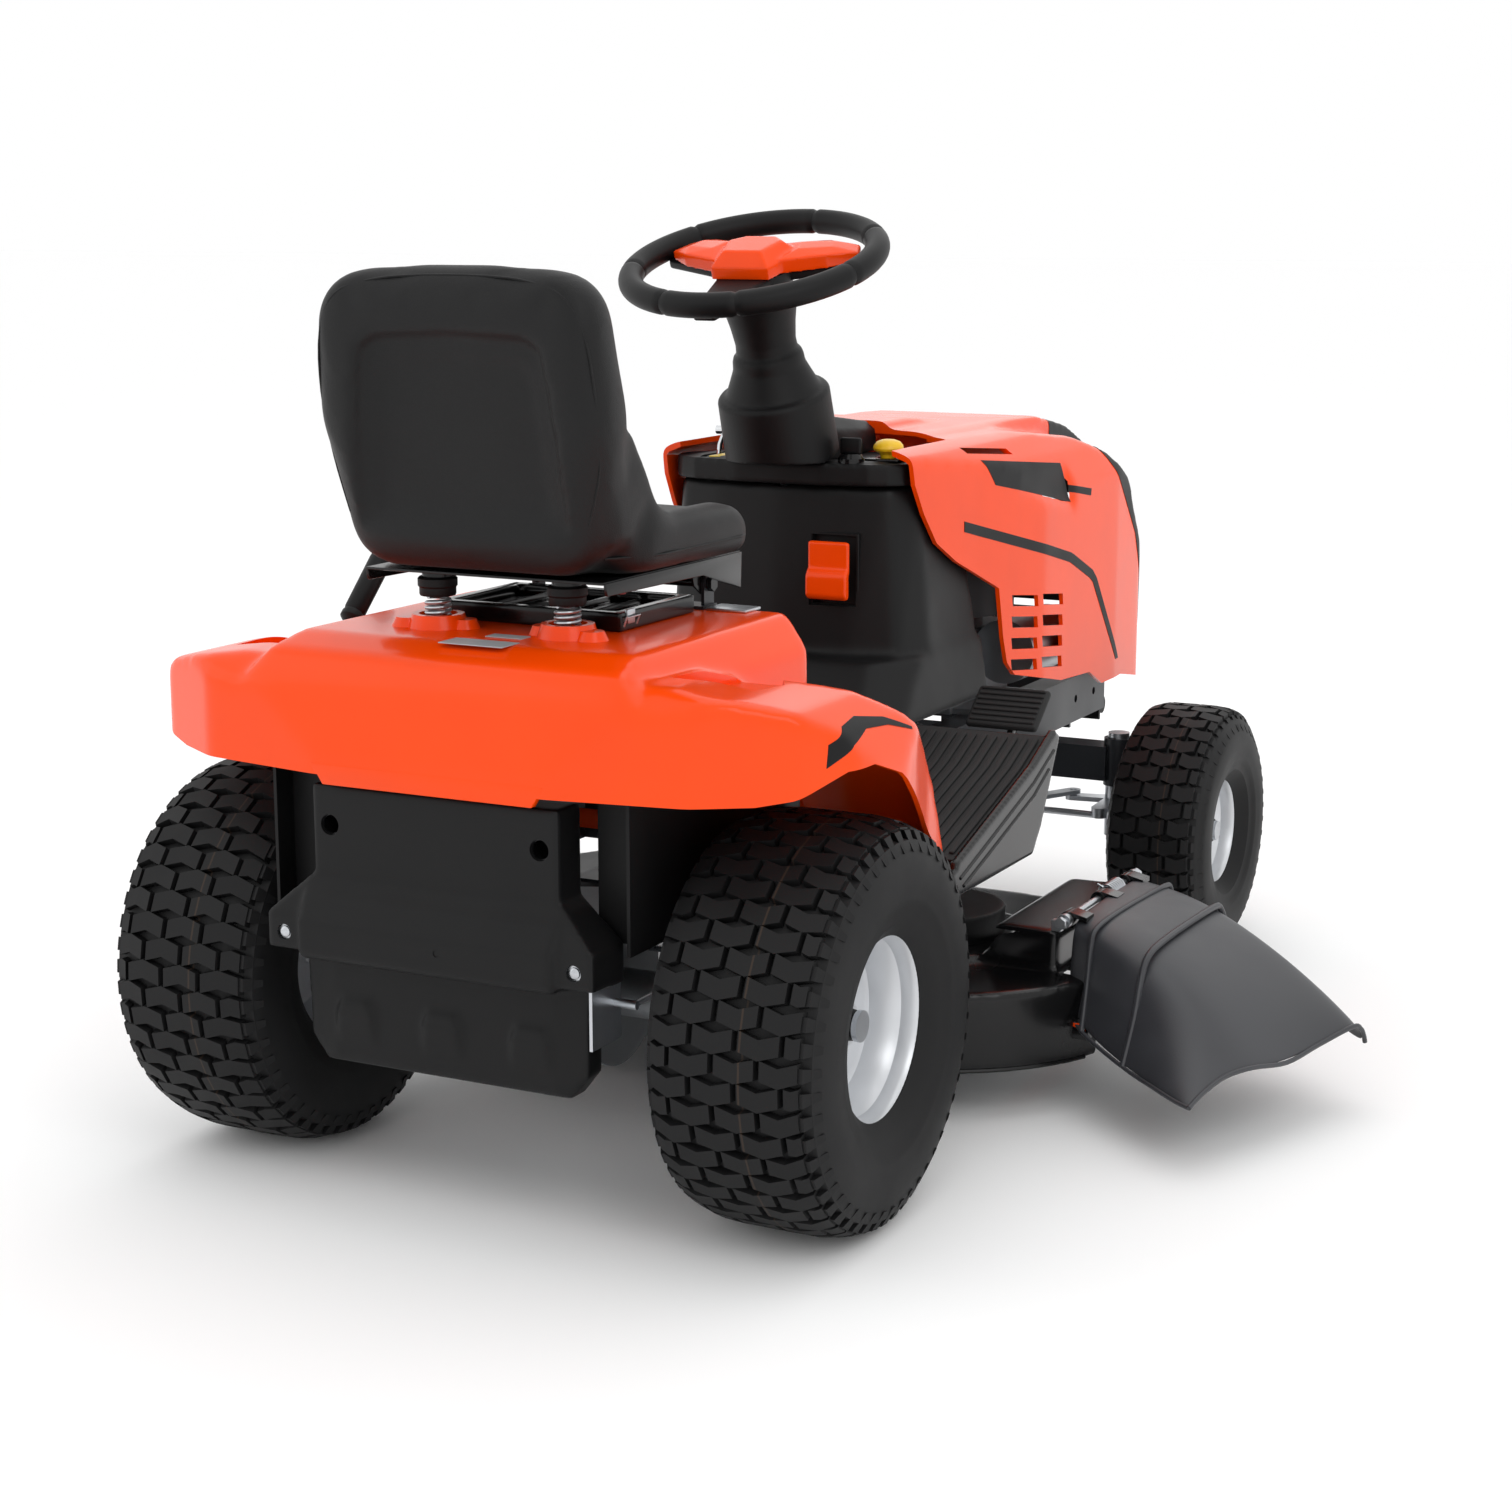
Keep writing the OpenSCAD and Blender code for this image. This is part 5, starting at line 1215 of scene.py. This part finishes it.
class TRACTOR_OT_footrests(bpy.types.Operator):
    """Footrests with ribbed mats and grooved skirts, brake pedal, and the deck's lift lever"""
    bl_idname = "tractor.footrests"
    bl_label = "Footrests, pedal and lift lever"

    def execute(self, context):
        count = context.scene.tractor_sizes.mat_ribs
        floor = prism("X", FLOOR + [(y, z - 5) for y, z in reversed(FLOOR)], 205, 414)
        skirt = prism("X", [(205, 346), (232, 354), (470, 426), (545, 459), (560, 451), (530, 400),
                            (500, 348),
                            (473, 318), (236, 318), (205, 330)], 409, 414.8)
        ledge = prism("X", [(232, 350), (470, 420), (545, 452), (545, 462), (470, 430), (232, 360)], 404,
                      414.8)
        shape = worked(floor, [("UNION", skirt), ("UNION", ledge),
                               ("UNION", block((200, 236, 346), (208, 470, 378))),
                               ("SOFTEN", 2.6, 5)])
        beads = together(tube([(414.5, 240, 340), (414.5, 468, 408), (414.5, 536, 437)], 2.2, 8),
                         tube([(414.5, 250, 329), (414.5, 470, 392), (414.5, 520, 416)], 2.2, 8))
        arms = together(*[block((158, y, 370), (207, y + 20, 374)) for y in (300, 440)])
        made = together(shape, beads, arms)
        show("footrest_r_moulding", made.copy(), "abs_gloss_black", "chassis", ["footrest_r"])
        show("footrest_l_moulding", flipped(made), "abs_gloss_black", "chassis", ["footrest_l"])
        mat_line = [(250, 356.3), (468, 419.7), (540, 450.1)]
        sheet = prism("X", mat_line + [(y, z + 2.2) for y, z in reversed(mat_line)], 222, 402)
        ribs = []
        for i in range(count):
            x = 230 + (394 - 230) * i / (count - 1)
            line = [(262, 361.5), (468, 421.6), (530, 448.2)]
            ribs.append(rounded(prism("X", line + [(y - 1, z + 3.4) for y, z in reversed(line)], x - 3.2,
                                      x + 3.2), 1, 1))
        mat = together(sheet, *ribs)
        show("mat_r_ribbed", mat.copy(), "epdm_mat", "chassis", ["mat_r"])
        show("mat_l_ribbed", flipped(mat), "epdm_mat", "chassis", ["mat_l"])

        turn = Matrix.Translation(at(311, 644, 463)) @ Matrix.Rotation(math.radians(38), 4, "X")
        pad = rounded(block((-49, -34, -6), (49, 34, 5), turn), 5, 3)
        grips = [rounded(block((-44, y, 4), (44, y + 4, 7.5), turn), 1, 1) for y in range(-28, 28, 9)]
        arm = rounded(prism("X", [(589, 346), (603, 342), (626, 420), (656, 458), (642, 464), (612, 424)],
                            318, 326), 1.5, 2)
        show("brake_pedal_pad", together(pad, *grips), "epdm_mat", "brake_pedal", ["brake_pedal"])
        show("brake_pedal_arm", together(arm, rod((158.4, 596, 346), (345, 596, 346), 8),
                                         rod((314, 596, 346), (330, 596, 346), 13)),
             "powder_coat_black", "brake_pedal")

        lean = Matrix.Translation(at(-330, 20, 520)) @ Matrix.Rotation(math.radians(-46), 4, "X")
        shaft = turned([(0, 0), (6, 0), (6, 118), (9, 121), (14, 126), (14, 132), (12.4, 135), (13.6, 140),
                        (14, 215),
                        (13, 226), (8, 231.5), (0, 232)], lean, 32)
        bush = rod((-339, 20, 520), (-321, 20, 520), 14, 32)
        show("lift_lever_grip", together(shaft, rounded(bush, 1, 2)), "polypropylene_textured",
             "lift_lever", ["lift_lever"])
        return {"FINISHED"}


# ---------- Cutting deck ----------
class TRACTOR_OT_deck(bpy.types.Operator):
    """Stamped deck shell with its tunnel, belt covers, and the flared deflector on a sprung hinge"""
    bl_idname = "tractor.deck"
    bl_label = "Cutting deck"

    def execute(self, context):
        def stadium(r, z1, z2):
            """A slab round both spindles."""
            return worked(rod((-SPINDLE_X, SPINDLE_Y, z1), (-SPINDLE_X, SPINDLE_Y, z2), r, 96), [
                ("UNION", rod((SPINDLE_X, SPINDLE_Y, z1), (SPINDLE_X, SPINDLE_Y, z2), r, 96)),
                ("UNION", block((-SPINDLE_X, SPINDLE_Y - r, z1), (SPINDLE_X, SPINDLE_Y + r, z2)))])

        tunnel = hull([(x, y, z) for x, y, z in [(330, 505, 150), (330, 790, 150), (436, 505, 150),
                                                 (436, 790, 150),
                                                 (350, 512, 214), (350, 783, 214), (436, 507, 214),
                                                 (436, 788, 214)]])
        raised = worked(rod((-SPINDLE_X, SPINDLE_Y, 156), (-SPINDLE_X, SPINDLE_Y, 172), 150, 64, 130), [
            ("UNION", rod((SPINDLE_X, SPINDLE_Y, 156), (SPINDLE_X, SPINDLE_Y, 172), 150, 64, 130)),
            ("UNION", hull([(x, y, z) for x in (-235, 235) for y, z in ((450, 156), (750, 156), (470, 172),
                                                                        (730, 172))]))])
        skin = worked(stadium(270, 62, 162), [("UNION", raised), ("UNION", tunnel), ("SOFTEN", 5, 8)])
        bores = together(*[rod((s * SPINDLE_X, SPINDLE_Y, 50), (s * SPINDLE_X, SPINDLE_Y, 240), 12.7)
                           for s in (-1, 1)])
        lugs = [rod((x, y, 150), (x, y, 198), 11, 24) for x in (-138, 138) for y in (420, 830)]
        hubs = [rod((s * SPINDLE_X, SPINDLE_Y, 107), (s * SPINDLE_X, SPINDLE_Y, 170), 32) for s in (-1, 1)]
        shell = worked(skin, [
            ("DIFFERENCE", stadium(265, 40, 157)), ("DIFFERENCE", block((335, 510, 40), (434, 785, 208))),
            ("DIFFERENCE", block((400, 508, 40), (600, 787, 163)))] + [("UNION", h) for h in hubs + lugs]
            + [("DIFFERENCE", bores)])
        show("deck_shell_stamped", shell, "powder_coat_black", "deck", ["deck_shell"])
        lip = tube([(235 + 268 * math.cos(a), 600 + 268 * math.sin(a), 65) for a in
                    [math.radians(d) for d in range(-90, -20, 6)]], 3.2, 8)
        rest = tube([(-235 + 268 * math.cos(a), 600 + 268 * math.sin(a), 65) for a in
                     [math.radians(d) for d in range(90, 271, 6)]], 3.2, 8)
        bars = [tube([(-235, 600 + s * 268, 65), (235, 600 + s * 268, 65)], 3.2, 8) for s in (-1, 1)]
        show("deck_rolled_edge", together(lip, rest, *bars), "powder_coat_black", "deck")

        cover = worked(rod((SPINDLE_X, SPINDLE_Y, 163), (SPINDLE_X, SPINDLE_Y, 207.5), 88, 64), [
            ("UNION", hull([(x, y, z) for x in (120, 235) for y, z in ((541, 163), (659, 163), (548, 201),
                                                                       (652, 201))])),
            ("UNION", rod((SPINDLE_X, SPINDLE_Y, 200), (SPINDLE_X, SPINDLE_Y, 207.8), 52, 48, 46)),
            ("SOFTEN", 3, 7),
            ("DIFFERENCE", rod((SPINDLE_X, SPINDLE_Y, 150), (SPINDLE_X, SPINDLE_Y, 203), 83, 64)),
            ("DIFFERENCE", block((110, 546, 150), (235, 654, 197)))])
        show("belt_cover_r_moulding", cover.copy(), "polypropylene_textured", "deck", ["belt_cover_r"])
        show("belt_cover_l_moulding", flipped(cover), "polypropylene_textured", "deck", ["belt_cover_l"])

        # Hinge brackets, pin with its torsion spring, and the catch at the rear corner
        brackets = []
        for y in (515, 770):
            brackets.append(worked(rounded(block((424, y, 212), (437, y + 10, 227)), 1, 1), [
                ("UNION", rod((440, y, 226), (440, y + 10, 226), 9, 32))]))
        pin = rod((440, 509, 226), (440, 786, 226), 4.9, 24)
        heads = [rounded(rod((440, a, 226), (440, b, 226), 8.5, 6), 0.8, 1)
                 for a, b in ((503, 509), (786, 792))]
        show("hinge_pin", together(pin, *heads, *brackets), "zinc_plated_steel", "deck")
        coil = [(440 + 11.6 * math.cos(a), 672 + a * 1.05, 226 + 11.6 * math.sin(a)) for a in
                [math.tau * k / 14 for k in range(7 * 14 + 1)]]
        spring = tube([(428, 671, 238)] + coil + [(420, 719, 214)], 1.6, 6)
        show("hinge_spring", spring, "zinc_plated_steel", "deck")
        catch = together(rounded(block((452, 470, 92), (492, 486, 104)), 2, 2),
                         rod((478, 478, 100), (478, 478, 118), 7),
                         rounded(block((440, 474, 98), (470, 500, 103)), 1, 1))
        show("deck_corner_catch", catch, "powder_coat_black", "deck")
        ring = turned([(7.2, 0), (9.4, 1), (9.4, 5), (7.2, 6), (7.2, 0)],
                      Matrix.Translation(at(478, 478, 107)), 24)
        show("deck_corner_ring", ring, "abs_gloss_panel", "deck")

        # Deflector: stations from the hinge to the lip, each from its rear wall over the top to
        # its front wall
        stations = [
            [(452, 500, 128), (450, 512, 178), (449, 520, 214), (450, 534, 229), (450, 600, 232),
             (450, 700, 232),
             (450, 752, 231), (451, 764, 226), (452, 768, 206), (454, 770, 182)],
            [(486, 462, 106), (484, 484, 160), (484, 496, 206), (485, 510, 224), (487, 580, 228),
             (492, 680, 228),
             (496, 744, 227), (498, 758, 222), (500, 764, 200), (502, 766, 168)],
            [(560, 404, 88), (562, 434, 136), (562, 458, 184), (564, 478, 209), (566, 548, 215),
             (570, 650, 216),
             (573, 712, 215), (575, 728, 210), (580, 736, 188), (586, 740, 152)],
            [(612, 356, 86), (616, 392, 122), (620, 424, 156), (628, 452, 176), (640, 520, 178),
             (655, 610, 176),
             (668, 674, 176), (672, 690, 170), (680, 698, 146), (688, 702, 120)],
            [(652, 320, 85), (656, 358, 106), (664, 396, 124), (682, 432, 132), (706, 496, 128),
             (728, 570, 132),
             (744, 634, 138), (748, 650, 132), (752, 658, 112), (756, 662, 96)],
            [(674, 304, 85), (680, 340, 94), (692, 384, 102), (712, 424, 104), (736, 486, 96),
             (756, 552, 102),
             (782, 612, 112), (788, 628, 106), (790, 636, 96), (791, 640, 86)],
        ]
        bm = bmesh.new()
        rows = []
        for station in stations:
            spots = [bm.verts.new(at(*p)) for p in station]
            rows.append([bm.edges.new(pair) for pair in zip(spots, spots[1:])])
        for a, b in zip(rows, rows[1:]):
            bmesh.ops.bridge_loops(bm, edges=a + b)
        bmesh.ops.recalc_face_normals(bm, faces=bm.faces)
        if sum(f.normal.z for f in bm.faces) < 0:
            bmesh.ops.reverse_faces(bm, faces=bm.faces)
        flap = show("deflector_moulding", bm, "polyethylene_chute", "deflector", ["deflector"], 75)
        wall = flap.modifiers.new("wall", "SOLIDIFY")
        wall.thickness, wall.offset = 3.6 * MM, -1
        smooth = flap.modifiers.new("round", "SUBSURF")
        smooth.levels = smooth.render_levels = 3
        ribs = [tube(eased(stations[1], 5), 3.4, 10), tube(eased(stations[2], 5), 4.4, 10),
                tube(eased(stations[5], 5), 3.0, 10)]
        side = tube(eased([s[0] for s in stations], 5), 2.6, 10)
        show("deflector_ribs", together(*ribs, side), "polyethylene_chute", "deflector")
        barrels = [rounded(rod((440, y, 226), (440, y + 30, 226), 10, 32), 1, 2)
                   for y in (525.3, 640, 739.7)]
        tongues = [hull([(x, b, z) for b in (y + 2, y + 28) for x, z in ((436, 234), (444, 236), (466, 231),
                                                                         (466, 225))])
                   for y in (525.3, 640, 739.7)]
        show("deflector_hinge_barrels", together(*barrels, *tongues), "powder_coat_black", "deflector")
        return {"FINISHED"}


class TRACTOR_PT_panel(bpy.types.Panel):
    """The tractor's sizes, colours and pieces"""
    bl_idname = "TRACTOR_PT_panel"
    bl_label = "Lawn tractor"
    bl_space_type = "VIEW_3D"
    bl_region_type = "UI"
    bl_category = "Lawn Tractor"

    def draw(self, context):
        for group in (context.scene.tractor_finishes, context.scene.tractor_sizes):
            for name in type(group).bl_rna.properties.keys():
                if name not in ("rna_type", "name"):
                    self.layout.prop(group, name)
        for operator in OPERATORS:
            self.layout.operator(operator.bl_idname)


OPERATORS = [c for c in bpy.types.Operator.__subclasses__() if c.__name__.startswith("TRACTOR_OT_")]
CLASSES = [TractorFinishes, TractorSizes, *OPERATORS, TRACTOR_PT_panel]


def register():
    for cls in CLASSES:
        bpy.utils.register_class(cls)
    bpy.types.Scene.tractor_finishes = PointerProperty(type=TractorFinishes)
    bpy.types.Scene.tractor_sizes = PointerProperty(type=TractorSizes)


def unregister():
    del bpy.types.Scene.tractor_sizes
    del bpy.types.Scene.tractor_finishes
    for cls in reversed(CLASSES):
        bpy.utils.unregister_class(cls)


def main():
    register()
    for operator in OPERATORS:
        space, name = operator.bl_idname.split(".")
        getattr(getattr(bpy.ops, space), name)()


if __name__ == "__main__":
    main()
